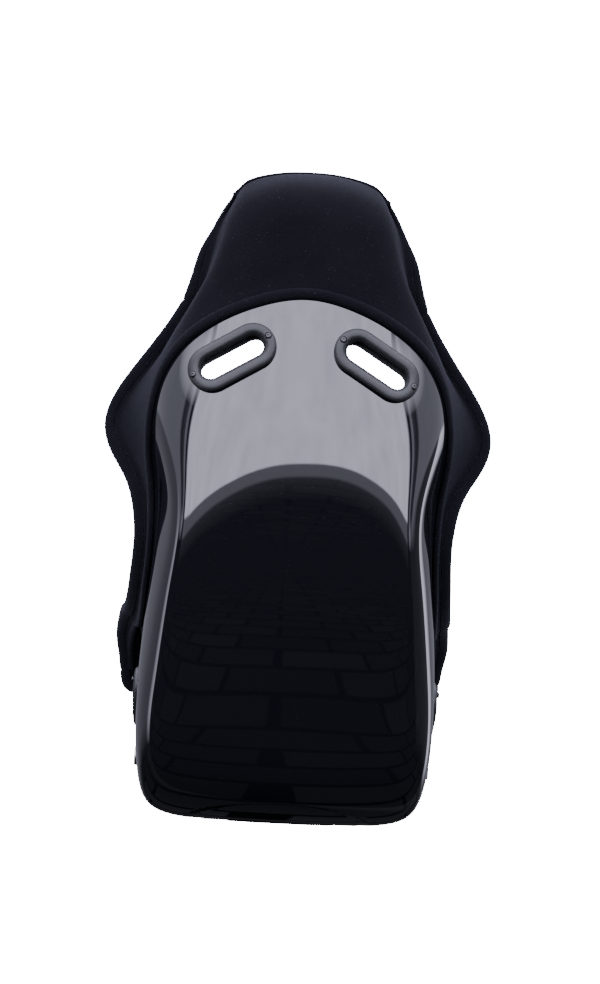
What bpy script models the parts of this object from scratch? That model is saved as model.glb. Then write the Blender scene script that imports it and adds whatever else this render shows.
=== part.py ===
"""Fixed-back racing seat: moulded shell, wrapped upholstery, harness slots, side mounts.

Metres, +Z up.  The seat stands on the flat of its base with the origin on that
flat, and faces -Y; +X is the sitter's left.
The shell is one smooth surface over (s, v): v runs along the middle of the seat
from the front lip (0) to the top of the head (LAST), s runs across it from the
middle (0) to the rim (+-RIM).  Every pad and trim is laid on that surface.
"""
import math

import bmesh
import bpy
from mathutils import Matrix, Vector
from mathutils.bvhtree import BVHTree

# ------------------------------------------------------------ driving sizes
SEAT_HEIGHT = 0.888         # floor to the top of the moulded shell
SEAT_WIDTH = 0.514          # shell across the shoulder wings
SEAT_DEPTH = 0.587          # shell from front lip to the back
SHELL_WALL = 0.004          # laminate
PAD_GAP = 0.0025            # glue line between laminate and pads
FIT = 0.0005                # clearance between touching pieces
SEAM = 0.0015               # gap between neighbouring pads

BASE_PAD = 0.014            # pad thickness on the pan floor
BACK_PAD = 0.026
LUMBAR_PAD = 0.034
HEAD_PAD = 0.036
SIDE_PAD = 0.030            # bolsters on the side walls
RIM_PAD = 0.010             # every pad thins to this at the rim
COVER = 0.0050              # sewn cover with its foam backing, outside
COVER_GAP = 0.0024          # glue line under it
ROLL_GAP = 0.0043           # between the edge of the shell and the rim roll
BEAD_DEPTH = 0.013          # rim roll, past the edge of the shell
HEM_WIDTH = 0.015
HEM_HEIGHT = 0.007

SLOT_HALF = 0.046           # shoulder slots, half length and half width
SLOT_HALF_WIDTH = 0.0145
SLOT_TILT = math.radians(31)
SLOT_V = 10.578             # how far up the back the shoulder slots are
SLOT_TO_HEM = 0.0021        # from the ring round a shoulder slot to the hem
RING_WIDTH = 0.017          # bezel ring around a slot
RING_HEIGHT = 0.009
RING_WALL = 0.003
LAP_HALF = 0.032
LAP_HALF_WIDTH = 0.013
LAP_TILT = math.radians(40)
LAP_Y = 0.105
LAP_Z = 0.158
CROTCH_HALF = 0.034
CROTCH_HALF_WIDTH = 0.012
CROTCH_Y = -0.152

CUSHION_THICKNESS = 0.058
CUSHION_SIDE = 2.55         # s of the cushion's sides
CUSHION_FRONT = 0.35        # v of its two ends
CUSHION_REAR = 4.55
STRIP_THICKNESS = 0.0012

INSERT_RADIUS = 0.013       # threaded side-mount inserts
INSERT_BORE = 0.0042
INSERT_PROUD = 0.003
INSERT_Z = 0.078
INSERT_FRONT_Y = -0.112
INSERT_REAR_Y = 0.118
SCREW_HEAD = 0.0042
SCREW_SHANK = 0.0024
SCREW_LENGTH = 0.013

# ------------------------------------------------------------- seat surface
# One row per station, in thousandths of the nominal seat:
# spine y, z; rim y, z; crease half width, crown depth; body half width,
# cheek depth, corner height; rim half width, fall of the flange.
NOMINAL = (888, 514, 587)   # height, width, depth the rows are drawn at
STATIONS = (
    (-325, 103, -310, 124, 150, 3, 197, 6, 6, 246, 4),
    (-262, 70, -276, 196, 146, 3, 198, 8, 22, 252, 4),
    (-180, 30, -200, 243, 140, 3, 198, 10, 36, 243, 4),
    (-80, -3, -92, 259, 136, 2, 198, 10, 44, 232, 4),
    (40, -8, 0, 269, 134, 2, 199, 10, 44, 222, 4),
    (150, -1, 62, 292, 132, 4, 200, 10, 44, 214, 4),
    (224, 55, 98, 324, 132, 8, 200, 14, 42, 209, 4),
    (250, 153, 120, 361, 133, 12, 192, 18, 34, 205, 4),
    (262, 291, 128, 410, 136, 12, 177, 12, 24, 206, 4),
    (260, 423, 104, 473, 138, 12, 171, 14, 24, 226, 4),
    (241, 551, 78, 540, 146, 16, 198, 26, 30, 257, 4),
    (206, 678, 92, 624, 124, 16, 180, 26, 26, 209, 4),
    (190, 780, 118, 704, 92, 12, 132, 20, 22, 158, 5),
    (172, 853, 124, 784, 72, 10, 110, 16, 18, 139, 8),
    (120, 888, 116, 838, 50, 6, 84, 12, 10, 110, 12),
)
LAST = len(STATIONS) - 1
RIM = 7.0
FLOOR = 0.0
SEAT_MIDDLE = Vector((0.0, 0.0, 0.40))      # a point in front of the back, above the pan


def scaled_rows():
    """The stations in metres, stretched to the driving sizes."""
    tall = SEAT_HEIGHT / NOMINAL[0]
    wide = SEAT_WIDTH / NOMINAL[1]
    deep = SEAT_DEPTH / NOMINAL[2]
    factor = (deep, tall, deep, tall, wide, deep, wide, deep, deep, wide, deep)
    return [[value * k for value, k in zip(row, factor)] for row in STATIONS]


def spline_moments(rows):
    """Second differences of the natural cubic spline through the rows."""
    count = len(rows)
    width = len(rows[0])
    upper = [0.0] * count
    moment = [[0.0] * width for _ in range(count)]
    for i in range(1, count - 1):
        pivot = 4.0 - upper[i - 1]
        upper[i] = 1.0 / pivot
        for k in range(width):
            bend = 6.0 * (rows[i - 1][k] - 2.0 * rows[i][k] + rows[i + 1][k])
            moment[i][k] = (bend - moment[i - 1][k]) / pivot
    for i in range(count - 2, 0, -1):
        for k in range(width):
            moment[i][k] -= upper[i] * moment[i + 1][k]
    return moment


ROWS = scaled_rows()
MOMENTS = spline_moments(ROWS)


def station(v):
    """The station values at any v along the seat."""
    v = min(max(v, 0.0), float(LAST))
    i = min(int(v), LAST - 1)
    t = v - i
    fall = ((1 - t) ** 3 - (1 - t)) / 6
    rise = (t ** 3 - t) / 6
    return [
        (1 - t) * a + t * b + fall * ma + rise * mb
        for a, b, ma, mb in zip(ROWS[i], ROWS[i + 1], MOMENTS[i], MOMENTS[i + 1])
    ]


def section(values, s):
    """Half width x and height h above the spine at s across one section."""
    spine_y, spine_z, rim_y, rim_z, crease, crown, body, cheek, corner, rim, fall = values
    reach = math.hypot(rim_y - spine_y, rim_z - spine_z)
    low = crown + cheek + corner
    controls = [
        (-0.5 * crease, 0.12 * crown),
        (0.0, 0.0),
        (0.5 * crease, 0.12 * crown),
        (crease, crown),
        (body - 0.25 * (body - crease), crown + cheek),
        (body, low),
        (body + 0.30 * (rim - body), 0.5 * (low + reach)),
        (rim - 0.014, reach - fall),
        (rim, reach),
        (rim + 0.014, reach + fall),
    ]
    i = min(int(s), 6)
    t = s - i
    weights = (
        (1 - t) ** 3 / 6,
        (3 * t ** 3 - 6 * t * t + 4) / 6,
        (-3 * t ** 3 + 3 * t * t + 3 * t + 1) / 6,
        t ** 3 / 6,
    )
    x = sum(w * controls[i + k][0] for k, w in enumerate(weights))
    h = sum(w * controls[i + k][1] for k, w in enumerate(weights))
    return x, h, reach


def raw_point(s, v):
    """The outside of the shell before its base is made flat."""
    values = station(v)
    x, h, reach = section(values, abs(s))
    along_y = (values[2] - values[0]) / reach
    along_z = (values[3] - values[1]) / reach
    return Vector((math.copysign(x, s) if s else 0.0, values[0] + along_y * h, values[1] + along_z * h))


def inward(s, v):
    """Unit normal of the surface, towards the sitter."""
    e = 0.01
    across = raw_point(min(s + e, RIM), v) - raw_point(max(s - e, -RIM), v)
    along = raw_point(s, min(v + e, LAST)) - raw_point(s, max(v - e, 0.0))
    return across.cross(along).normalized()


def lifted(s, v, height):
    """A point the given height inside the outer surface, above the flat base."""
    point = raw_point(s, v) + inward(s, v) * height
    point.z = max(point.z, FLOOR + height)
    return point


# ------------------------------------------------------------ mesh building
MATERIALS = {
    "gelcoat_black": ((0.012, 0.013, 0.016), 0.06, 0.0),
    "fabric_black": ((0.014, 0.014, 0.018), 0.92, 0.0),
    "fabric_grey": ((0.030, 0.030, 0.036), 0.90, 0.0),
    "plastic_dark": ((0.045, 0.046, 0.050), 0.45, 0.0),
    "steel_black": ((0.060, 0.060, 0.064), 0.35, 0.9),
    "steel_zinc": ((0.55, 0.55, 0.53), 0.30, 1.0),
    "hook_tape": ((0.020, 0.020, 0.022), 0.95, 0.0),
}


def material(name):
    found = bpy.data.materials.get(name)
    if found:
        return found
    colour, roughness, metallic = MATERIALS[name]
    made = bpy.data.materials.new(name)
    made.use_nodes = True
    shader = made.node_tree.nodes["Principled BSDF"]
    shader.inputs["Base Color"].default_value = (*colour, 1.0)
    shader.inputs["Roughness"].default_value = roughness
    shader.inputs["Metallic"].default_value = metallic
    return made


def add_object(name, bm, slot, smooth=True):
    """Close off a bmesh into a named object with outward faces."""
    bmesh.ops.recalc_face_normals(bm, faces=bm.faces)
    for face in bm.faces:
        face.smooth = smooth
    mesh = bpy.data.meshes.new(name)
    bm.to_mesh(mesh)
    bm.free()
    if slot:
        mesh.materials.append(material(slot))
    made = bpy.data.objects.new(name, mesh)
    bpy.context.collection.objects.link(made)
    return made


def far_first(row, c):
    """The two columns of a cell, the one nearer the middle plane first."""
    return (c, c + 1) if row[c].x + row[c + 1].x > -1e-9 else (c + 1, c)


def grid_triangles(rows):
    """(row, column) triples over a grid; diagonals run away from the middle plane."""
    triangles = []
    for r in range(len(rows) - 1):
        for c in range(len(rows[0]) - 1):
            near, far = far_first(rows[r], c)
            triangles.append(((r, near), (r, far), (r + 1, far)))
            triangles.append(((r, near), (r + 1, far), (r + 1, near)))
    return triangles


def slab(name, outer, inner, slot):
    """A closed solid between two grids of points that share rows and columns."""
    bm = bmesh.new()
    top, under = [[[bm.verts.new(p) for p in row] for row in rows] for rows in (outer, inner)]
    for sheet in (top, under):
        for triangle in grid_triangles(outer):
            bm.faces.new([sheet[r][c] for r, c in triangle])
    last_row = len(outer) - 1
    last_column = len(outer[0]) - 1
    for r in (0, last_row):
        for c in range(last_column):
            near, far = far_first(outer[r], c)
            bm.faces.new((top[r][near], top[r][far], under[r][far]))
            bm.faces.new((top[r][near], under[r][far], under[r][near]))
    for c in (0, last_column):
        for r in range(last_row):
            bm.faces.new((top[r][c], top[r + 1][c], under[r + 1][c]))
            bm.faces.new((top[r][c], under[r + 1][c], under[r][c]))
    return add_object(name, bm, slot)


def ring(name, rings, slot, closed):
    """A solid swept through equal loops of points; capped unless closed."""
    bm = bmesh.new()
    loops = [[bm.verts.new(point) for point in loop] for loop in rings]
    count = len(loops[0])
    pairs = list(zip(loops, loops[1:]))
    if closed:
        pairs.append((loops[-1], loops[0]))
    for one, two in pairs:
        for k in range(count):
            n = (k + 1) % count
            bm.faces.new((one[k], one[n], two[n]))
            bm.faces.new((one[k], two[n], two[k]))
    if not closed:
        bm.faces.new(loops[0])
        bm.faces.new(loops[-1])
    return add_object(name, bm, slot)


def lathe(name, profile, place, slot, sides=10, bored=False):
    """A solid turned from (radius, height) pairs about Z of a matrix; bored closes a ring."""
    bm = bmesh.new()
    loops = []
    for radius, height in profile:
        if radius == 0:
            loops.append([bm.verts.new(place @ Vector((0, 0, height)))])
            continue
        loop = []
        for k in range(sides):
            turn = 2 * math.pi * k / sides
            spot = Vector((radius * math.cos(turn), radius * math.sin(turn), height))
            loop.append(bm.verts.new(place @ spot))
        loops.append(loop)
    pairs = list(zip(loops, loops[1:]))
    if bored:
        pairs.append((loops[-1], loops[0]))
    for one, two in pairs:
        for k in range(sides):
            n = (k + 1) % sides
            if len(one) == 1:
                bm.faces.new((one[0], two[n], two[k]))
            elif len(two) == 1:
                bm.faces.new((one[k], one[n], two[0]))
            else:
                bm.faces.new((one[k], one[n], two[n], two[k]))
    return add_object(name, bm, slot)


def cut(target, cutter):
    """Take the cutter's volume out of the target."""
    cutter.hide_render = True
    cutter.display_type = "WIRE"
    step = target.modifiers.new("cut_" + cutter.name, "BOOLEAN")
    step.operation = "DIFFERENCE"
    step.solver = "EXACT"
    step.object = cutter


def between(low, high, lines):
    """The grid lines strictly inside a range, with the range's own ends."""
    middle = [line for line in lines if low + 0.12 < line < high - 0.12]
    return [low] + middle + [high]


def mirrored(values):
    return [-value for value in reversed(values) if value > 0] + list(values)


ARCH_TOP = 11.28            # v of the hem at the middle of the back
HALF_LINES = [0.0, 0.9, 1.8, 2.5, 3.0, 3.5, 4.0, 4.6, 5.3, 6.1, RIM]
S_LINES = mirrored(HALF_LINES)
V_LINES = sorted([0.5 * k for k in range(2 * LAST + 1)] + [10.75, 11.15, ARCH_TOP])

# -------------------------------------------------------------------- shell


def smooth_step(low, high, value):
    t = min(max((value - low) / (high - low), 0.0), 1.0)
    return t * t * (3 - 2 * t)


def pad_thickness(s, v):
    """Foam under the cover at any place on the inside of the shell."""
    side = abs(s)
    pan = 1 - smooth_step(4.2, 6.2, v)
    lumbar = smooth_step(5.0, 6.6, v) * (1 - smooth_step(7.8, 9.4, v))
    head = smooth_step(10.8, 12.0, v)
    centre = BACK_PAD + (LUMBAR_PAD - BACK_PAD) * lumbar + (HEAD_PAD - BACK_PAD) * head
    centre += (BASE_PAD - centre) * pan
    corner = 0.016
    middle = centre + (corner - centre) * smooth_step(1.6, 3.4, side)
    bolster = SIDE_PAD * (1 - 0.4 * smooth_step(11.0, 13.0, v))
    wall = middle + (bolster - middle) * smooth_step(3.6, 5.2, side)
    thick = wall + (RIM_PAD - wall) * smooth_step(5.4, RIM, side)
    top = smooth_step(12.6, LAST, v)
    front = 1 - smooth_step(0.0, 0.9, v)
    return thick + (RIM_PAD - thick) * max(top, front)


def surface(s_values, v_values, height):
    """Grid of points at a height (number or rule) above the outer surface."""
    rise = height if callable(height) else (lambda s, v: height)
    return [[lifted(s, v, rise(s, v)) for s in s_values] for v in v_values]


def pad(name, s_range, v_range, slot):
    """One upholstery pad on the inside of the shell."""
    s_values = between(*s_range, S_LINES)
    v_values = between(*v_range, V_LINES)
    base = SHELL_WALL + PAD_GAP
    back = surface(s_values, v_values, base)
    front = surface(s_values, v_values, lambda s, v: base + pad_thickness(s, v))
    return slab(name, back, front, slot)


def rim_path():
    """(s, v) around the seat's rim: up one side, over the head, down, along the lip."""
    up = [(RIM, v) for v in V_LINES[:-1]]
    over = [(s, float(LAST)) for s in reversed(S_LINES[1:])]
    down = [(-RIM, v) for v in reversed(V_LINES[1:])]
    lip = [(s, 0.0) for s in S_LINES[:-1]]
    return up, over, down, lip


def outline_frame(path, i):
    """Edge point, inward normal and outward in-surface direction on a closed path."""
    s, v = path[i]
    s0, v0 = path[i - 1]
    s1, v1 = path[(i + 1) % len(path)]
    run = (raw_point(s1, v1) - raw_point(s0, v0)).normalized()
    face = inward(s, v)
    out = run.cross(face).normalized()
    return raw_point(s, v), face, out


def rim_roll(name, path, first, last):
    """A D-shaped roll past the shell's edge along part of the rim, a seam short at its ends."""
    rings = []
    ends = {first: 1, last: -1}
    low = -COVER - FIT
    high = SHELL_WALL + PAD_GAP + RIM_PAD
    mid = 0.5 * (low + high)
    half = 0.5 * (high - low) + 0.0005
    for i in range(first, last + 1):
        spot, face, out = outline_frame(path, i % len(path))
        spot += face.cross(out) * (ends.get(i, 0) * 0.5 * SEAM)
        loop = []
        for k in range(7):
            turn = math.pi * (k / 6 - 0.5)
            reach = ROLL_GAP + (BEAD_DEPTH * math.cos(turn) ** 0.8 if 0 < k < 6 else 0.0)
            loop.append(spot + face * (mid + half * math.sin(turn)) + out * reach)
        rings.append(loop)
    return ring(name, rings, "fabric_black", False)


# ----------------------------------------------------------- slots and trim


def stadium(half_length, half_width, grow, turns=6):
    """Points round a stadium with its long axis along X, each straight in thirds."""
    straight = half_length - half_width
    radius = half_width + grow
    points = []
    for end in (1, -1):
        for k in range(turns):
            turn = math.pi * (k / (turns - 1) - 0.5)
            points.append((end * (straight + radius * math.cos(turn)), end * radius * math.sin(turn)))
        points += [(end * straight / 3, end * radius), (-end * straight / 3, end * radius)]
    return points


def slot_frame(centre, long_axis, face):
    """Matrix with X along the slot, Z out through the given face."""
    z = face.normalized()
    x = (long_axis - z * long_axis.dot(z)).normalized()
    y = z.cross(x)
    turn = Matrix((x, y, z)).transposed().to_4x4()
    return Matrix.Translation(centre) @ turn


def slot_cutter(name, frame, half_length, half_width, grow, low, high):
    loops = []
    for level in (low, high):
        outline = stadium(half_length, half_width, grow)
        loops.append([frame @ Vector((a, b, level)) for a, b in outline])
    return ring(name, loops, None, False)


def hit_height(tree, frame, a, b, side):
    """Local height of a surface above (a, b), seen from one side."""
    start = frame @ Vector((a, b, side * 0.30))
    ray = frame.to_3x3() @ Vector((0, 0, -side))
    spot = tree.ray_cast(start, ray)[0]
    return (frame.inverted() @ spot).z


def bezel(name, frame, tree, side, half_length, half_width, sleeve):
    """Ring and sleeve round a slot; side +1 faces out, -1 faces the sitter."""
    profile = (
        (0.0, None), (0.0, 0.6), (0.20, 0.95), (0.55, 1.0),
        (0.88, 0.72), (1.0, 0.12), (RING_WALL / RING_WIDTH, 0.12), (RING_WALL / RING_WIDTH, None),
    )
    rings = [[] for _ in stadium(half_length, half_width, 0.0)]
    for share, level in profile:
        grow = share * RING_WIDTH
        for k, (a, b) in enumerate(stadium(half_length, half_width, grow)):
            if level is None:
                z = sleeve
            else:
                z = hit_height(tree, frame, a, b, side) + side * (FIT + level * RING_HEIGHT)
            rings[k].append(frame @ Vector((a, b, z)))
    return ring(name, rings, "plastic_dark", True)


def screw(name, place, slot="steel_black"):
    """Button head with a socket, on a plain shank; head seat at height 0."""
    profile = (
        (0, 0.0009), (0.0016, 0.0009), (0.0017, 0.0024), (0.0028, 0.0024),
        (SCREW_HEAD, 0.0008), (SCREW_HEAD, 0.0), (SCREW_SHANK, 0.0),
        (SCREW_SHANK, -SCREW_LENGTH), (0, -SCREW_LENGTH),
    )
    return lathe(name, profile, place, slot)


def tree_of(rows):
    """Ray target made from a grid of points, with the same triangles as its slab."""
    width = len(rows[0])
    points = [point for row in rows for point in row]
    faces = [[r * width + c for r, c in triangle] for triangle in grid_triangles(rows)]
    return BVHTree.FromPolygons(points, faces)


# ------------------------------------------------------------------- build
for old in list(bpy.data.objects):
    bpy.data.objects.remove(old, do_unlink=True)

outer_rows = surface(S_LINES, V_LINES, 0.0)
shell = slab("shell", outer_rows, surface(S_LINES, V_LINES, SHELL_WALL), "gelcoat_black")
outer_tree = tree_of(outer_rows)
PAD_BASE = SHELL_WALL + PAD_GAP
pad_tree = tree_of(surface(S_LINES, V_LINES, lambda s, v: PAD_BASE + pad_thickness(s, v)))

# Pads on the inside: name, s range, v range, material.
half_seam = 0.02
WAIST, SHOULDER, NECK = 6.0, 8.5, ARCH_TOP
PADS = [
    ("base_pad", (-3.0, 3.0), (0.25, 5.0), "fabric_black"),
    ("lumbar_pad", (-3.0, 3.0), (5.0, 8.0), "fabric_grey"),
    ("upper_back_pad", (-3.0, 3.0), (8.0, NECK), "fabric_grey"),
    ("head_pad", (-RIM, RIM), (NECK, LAST), "fabric_black"),
]
for hand, sign in (("left", 1), ("right", -1)):
    lengths = (("thigh", 0.25, WAIST), ("waist", WAIST, SHOULDER), ("shoulder", SHOULDER, NECK))
    for label, low, high in lengths:
        span = (3.0, RIM) if sign > 0 else (-RIM, -3.0)
        PADS.append((label + "_pad_" + hand, span, (low, high), "fabric_black"))
pads = {}
for name, (s0, s1), (v0, v1), slot in PADS:
    s0 += half_seam if abs(s0) < RIM else 0.0
    s1 -= half_seam if abs(s1) < RIM else 0.0
    v1 -= 0.5 * half_seam if v1 < LAST else 0.0
    pads[name] = pad(name, (s0, s1), (v0 + 0.5 * half_seam, v1), slot)

# Rim roll in four lengths round the edge of shell and pads.
up, over, down, lip = rim_path()
PATH = up + over + down + lip
corners = [0, len(up), len(up) + len(over), len(up) + len(over) + len(down), len(PATH)]
for name, first, last in (
    ("rim_roll_left", 0, corners[1] - 4),
    ("rim_roll_head", corners[1] - 4, corners[2] + 3),
    ("rim_roll_right", corners[2] + 3, corners[3]),
    ("rim_roll_front", corners[3], corners[4]),
):
    rim_roll(name, PATH, first, last)

# Outside cover: from a hem across the back out to the rim.
HEM_LEGS = (
    (6.0, 0.5), (6.0, 2.0), (6.0, 3.5), (6.0, 5.0), (6.0, 6.5), (5.95, 7.6), (5.6, 8.6),
    (5.0, 9.3), (4.4, 9.75), (3.9, 10.1), (3.35, 10.5), (2.55, 10.86), (1.3, 11.15), (0.0, 11.28),
)


def hem_curve(t):
    """(s, v) along the hem: t 0 at the left front end, 1 at the middle, 2 at the right."""
    side = 1 if t <= 1 else -1
    u = (t if t <= 1 else 2 - t) * (len(HEM_LEGS) - 1)
    i = min(int(u), len(HEM_LEGS) - 2)
    before = HEM_LEGS[max(i - 1, 0)]
    a, b = HEM_LEGS[i], HEM_LEGS[i + 1]
    after = HEM_LEGS[i + 2] if i + 2 < len(HEM_LEGS) else (-HEM_LEGS[-2][0], HEM_LEGS[-2][1])
    f = u - i
    out = []
    for p, q, r, w in zip(before, a, b, after):
        out.append(0.5 * (2 * q + (r - p) * f + (2 * p - 5 * q + 4 * r - w) * f * f
                          + (3 * q - p - 3 * r + w) * f ** 3))
    return side * out[0], out[1]


def on_facets(point, height):
    """A point the given height outside the faceted shell."""
    spot, face, _, _ = outer_tree.find_nearest(point)
    return spot + face * math.copysign(height, face.dot(point - SEAT_MIDDLE))


def hem_at(v):
    """s of the hem on the left side at a given v, by halving."""
    low, high = 0.0, 1.0
    for _ in range(40):
        middle = 0.5 * (low + high)
        if hem_curve(middle)[1] < v:
            low = middle
        else:
            high = middle
    return hem_curve(low)[0]


def back_cover():
    """The outside cover: shell grid lines pulled in to the hem, both sides in one piece."""
    bm = bmesh.new()
    rows = [v for v in V_LINES if v >= 0.5]
    rows[-1] = LAST - 0.04
    lines = HALF_LINES[:-1] + [RIM - 0.06]
    made = {}

    def vertex(s, v, level):
        key = (round(s, 5), round(v, 5), level)
        if key not in made:
            height = COVER if level else COVER_GAP
            made[key] = bm.verts.new(outer_tree.find_nearest(raw_point(s, v))[0] - inward(s, v) * height)
        return made[key]

    def face(*corners):
        once = list(dict.fromkeys(corners))
        if len(once) == 3:
            bm.faces.new(once)

    for side in (1, -1):
        grid = []
        for v in rows:
            start = hem_at(v) if v < ARCH_TOP - 1e-6 else 0.0
            grid.append([(side * max(line, start), v) for line in lines])
        for lower, upper in zip(grid, grid[1:]):
            for c in range(len(lines) - 1):
                for level in (0, 1):
                    a, b = vertex(*lower[c], level), vertex(*lower[c + 1], level)
                    d, e = vertex(*upper[c], level), vertex(*upper[c + 1], level)
                    face(a, b, e)
                    face(a, e, d)
    tops = {vert for key, vert in made.items() if key[2]}
    border = [edge for edge in bm.edges if len(edge.link_faces) == 1 and edge.verts[0] in tops]
    partner = {made[key]: made[(key[0], key[1], 0)] for key in made if key[2]}
    for edge in border:
        a, b = sorted(edge.verts, key=lambda vert: (vert.co.z, abs(vert.co.x)))
        face(a, b, partner[b])
        face(a, partner[b], partner[a])
    return add_object("back_cover", bm, "fabric_black")


back_cover()

hem_points = [(6.0, 0.5)] + [(hem_at(v), v) for v in V_LINES if 0.5 < v < ARCH_TOP - 1e-6]
hem_path = hem_points + [(0.0, ARCH_TOP)] + [(-s, v) for s, v in reversed(hem_points)]
hem_rings = []
for k, (s, v) in enumerate(hem_path):
    s0, v0 = hem_path[max(k - 1, 0)]
    s1, v1 = hem_path[min(k + 1, len(hem_path) - 1)]
    face = inward(s, v)
    away = (raw_point(s1, v1) - raw_point(s0, v0)).normalized().cross(face).normalized()
    seat = raw_point(s, v) - away * SEAM
    loop = []
    for share, level in ((0, 0.0), (0, 0.7), (0.2, 1.0), (0.6, 1.0), (0.9, 0.6), (1.0, 0.0)):
        height = level * HEM_HEIGHT + COVER_GAP + SEAM
        if share:
            loop.append(on_facets(seat - away * (share * HEM_WIDTH), height))
        else:
            loop.append(seat - face * height)
    hem_rings.append(loop)
ring("hem_band", hem_rings, "fabric_black", False)

# Harness slots: a hole through the shell, one through the pads, a bezel on each side.


def ring_outline(x, z):
    """The outer edge of the left shoulder bezel, seen from behind, centred on x and z."""
    turn = Matrix.Rotation(-SLOT_TILT, 2)
    return [turn @ Vector(spot) + Vector((x, z)) for spot in stadium(SLOT_HALF, SLOT_HALF_WIDTH, RING_WIDTH)]


def slot_x(z):
    """X of the left shoulder slot, out as far as SLOT_TO_HEM from the hem lets it."""
    hem = [raw_point(*hem_curve(k / 200)).xz for k in range(201)]
    low, high = 0.0, 0.25 * SEAT_WIDTH
    for _ in range(30):
        x = 0.5 * (low + high)
        gap = min((spot - edge).length for edge in ring_outline(x, z) for spot in hem)
        if gap > HEM_WIDTH + SLOT_TO_HEM:
            low = x
        else:
            high = x
    return low


def harness_slot(name, frame, half_length, half_width, trimmed, inside_tree, passage):
    """Cut a slot along Z of the frame and line it with two bezels."""
    grow = RING_WALL + FIT
    hole = slot_cutter("cut_" + name, frame, half_length, half_width, grow, -0.12, 0.05)
    for target in [shell] + trimmed:
        cut(target, hole)
    outer = bezel(name + "_bezel_outer", frame, outer_tree, 1, half_length, half_width, -passage)
    bezel(name + "_bezel_inner", frame, inside_tree, -1, half_length, half_width, -passage - FIT)
    return outer


def bezel_screw(name, frame, bezel_object, x, targets):
    """A screw through a bezel into the shell, square to the bezel's top."""
    e = 0.003
    here, right, left, above, below = (
        hit_height(outer_tree, frame, x + a, b, 1) for a, b in ((0, 0), (e, 0), (-e, 0), (0, e), (0, -e))
    )
    lean = Vector((left - right, below - above, 2 * e)).normalized()
    turn = frame.to_3x3().to_4x4() @ Vector((0, 0, 1)).rotation_difference(lean).to_matrix().to_4x4()
    base = frame @ Vector((x, 0.0, here))
    out = turn.to_3x3() @ Vector((0, 0, 1))
    seat = Matrix.Translation(base + out * (0.72 * RING_HEIGHT)) @ turn
    well = ((0, -0.03), (SCREW_SHANK + FIT, -0.03), (SCREW_SHANK + FIT, -FIT), (SCREW_HEAD + FIT, -FIT),
            (SCREW_HEAD + FIT, 0.01), (0, 0.01))
    hole = lathe("cut_" + name, well, seat, None)
    for target in [bezel_object] + targets:
        cut(target, hole)
    screw(name, seat)


slot_z = raw_point(0.0, SLOT_V).z
for hand, sign in (("left", 1), ("right", -1)):
    long_axis = Vector((sign * math.cos(SLOT_TILT), 0.0, -math.sin(SLOT_TILT)))
    flat = slot_frame(Vector((sign * slot_x(slot_z), 0.0, slot_z)), long_axis, Vector((0, 1, 0)))
    depth = hit_height(outer_tree, flat, 0.0, 0.0, 1)
    frame = slot_frame(flat @ Vector((0, 0, depth)), long_axis, Vector((0, 1, 0)))
    name = "shoulder_slot_" + hand
    trimmed = [pads["upper_back_pad"], pads["shoulder_pad_" + hand], pads["head_pad"]]
    outer = harness_slot(name, frame, SLOT_HALF, SLOT_HALF_WIDTH, trimmed, pad_tree, 0.017)
    for label, side in (("inner", -1), ("outer", 1)):
        x = side * (SLOT_HALF + 0.55 * RING_WIDTH)
        bezel_screw("shoulder_screw_" + label + "_" + hand, frame, outer, x, [shell] + trimmed)

    long_axis = Vector((0.0, math.cos(LAP_TILT), math.sin(LAP_TILT)))
    flat = slot_frame(Vector((0.0, LAP_Y, LAP_Z)), long_axis, Vector((sign, 0, 0)))
    depth = hit_height(outer_tree, flat, 0.0, 0.0, 1)
    frame = slot_frame(flat @ Vector((0, 0, depth)), long_axis, Vector((sign, 0, 0)))
    name = "lap_slot_" + hand
    trimmed = [pads["thigh_pad_" + hand]]
    outer = harness_slot(name, frame, LAP_HALF, LAP_HALF_WIDTH, trimmed, pad_tree, 0.017)
    for label, side in (("front", -1), ("rear", 1)):
        x = side * (LAP_HALF + 0.55 * RING_WIDTH)
        bezel_screw("lap_screw_" + label + "_" + hand, frame, outer, x, [shell] + trimmed)

flat = slot_frame(Vector((0.0, CROTCH_Y, 0.0)), Vector((1, 0, 0)), Vector((0, 0, -1)))
depth = hit_height(outer_tree, flat, 0.0, 0.0, 1)
frame_crotch = slot_frame(flat @ Vector((0, 0, depth)), Vector((1, 0, 0)), Vector((0, 0, -1)))
harness_slot("crotch_slot", frame_crotch, CROTCH_HALF, CROTCH_HALF_WIDTH, [pads["base_pad"]], pad_tree, 0.010)

# Threaded inserts in the side walls, for the side mounts.
for hand, sign in (("left", 1), ("right", -1)):
    for label, y in (("front", INSERT_FRONT_Y), ("rear", INSERT_REAR_Y)):
        frame = slot_frame(Vector((0.0, y, INSERT_Z)), Vector((0, 1, 0)), Vector((sign, 0, 0)))
        skins = [
            hit_height(outer_tree, frame, a * INSERT_RADIUS, b * INSERT_RADIUS, 1)
            for a, b in ((1, 0), (-1, 0), (0, 1), (0, -1))
        ]
        face = max(skins) + INSERT_PROUD
        length = face - min(skins) + SHELL_WALL + 0.006
        place = frame @ Matrix.Translation((0, 0, face))
        wide = INSERT_RADIUS + FIT
        room = ((0, -length - FIT), (wide, -length - FIT), (wide, 0.03), (0, 0.03))
        hole = lathe("cut_insert_" + hand + "_" + label, room, place, None, 20)
        cut(shell, hole)
        cut(pads["thigh_pad_" + hand], hole)
        body = (
            (INSERT_BORE, 0), (INSERT_RADIUS - 0.0008, 0), (INSERT_RADIUS, -0.0008),
            (INSERT_RADIUS, -length), (INSERT_BORE, -length),
        )
        lathe("mount_insert_" + label + "_" + hand, body, place, "steel_zinc", 20, bored=True)

# Seat cushion, lifted straight off the hook tape that holds it.


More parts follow.
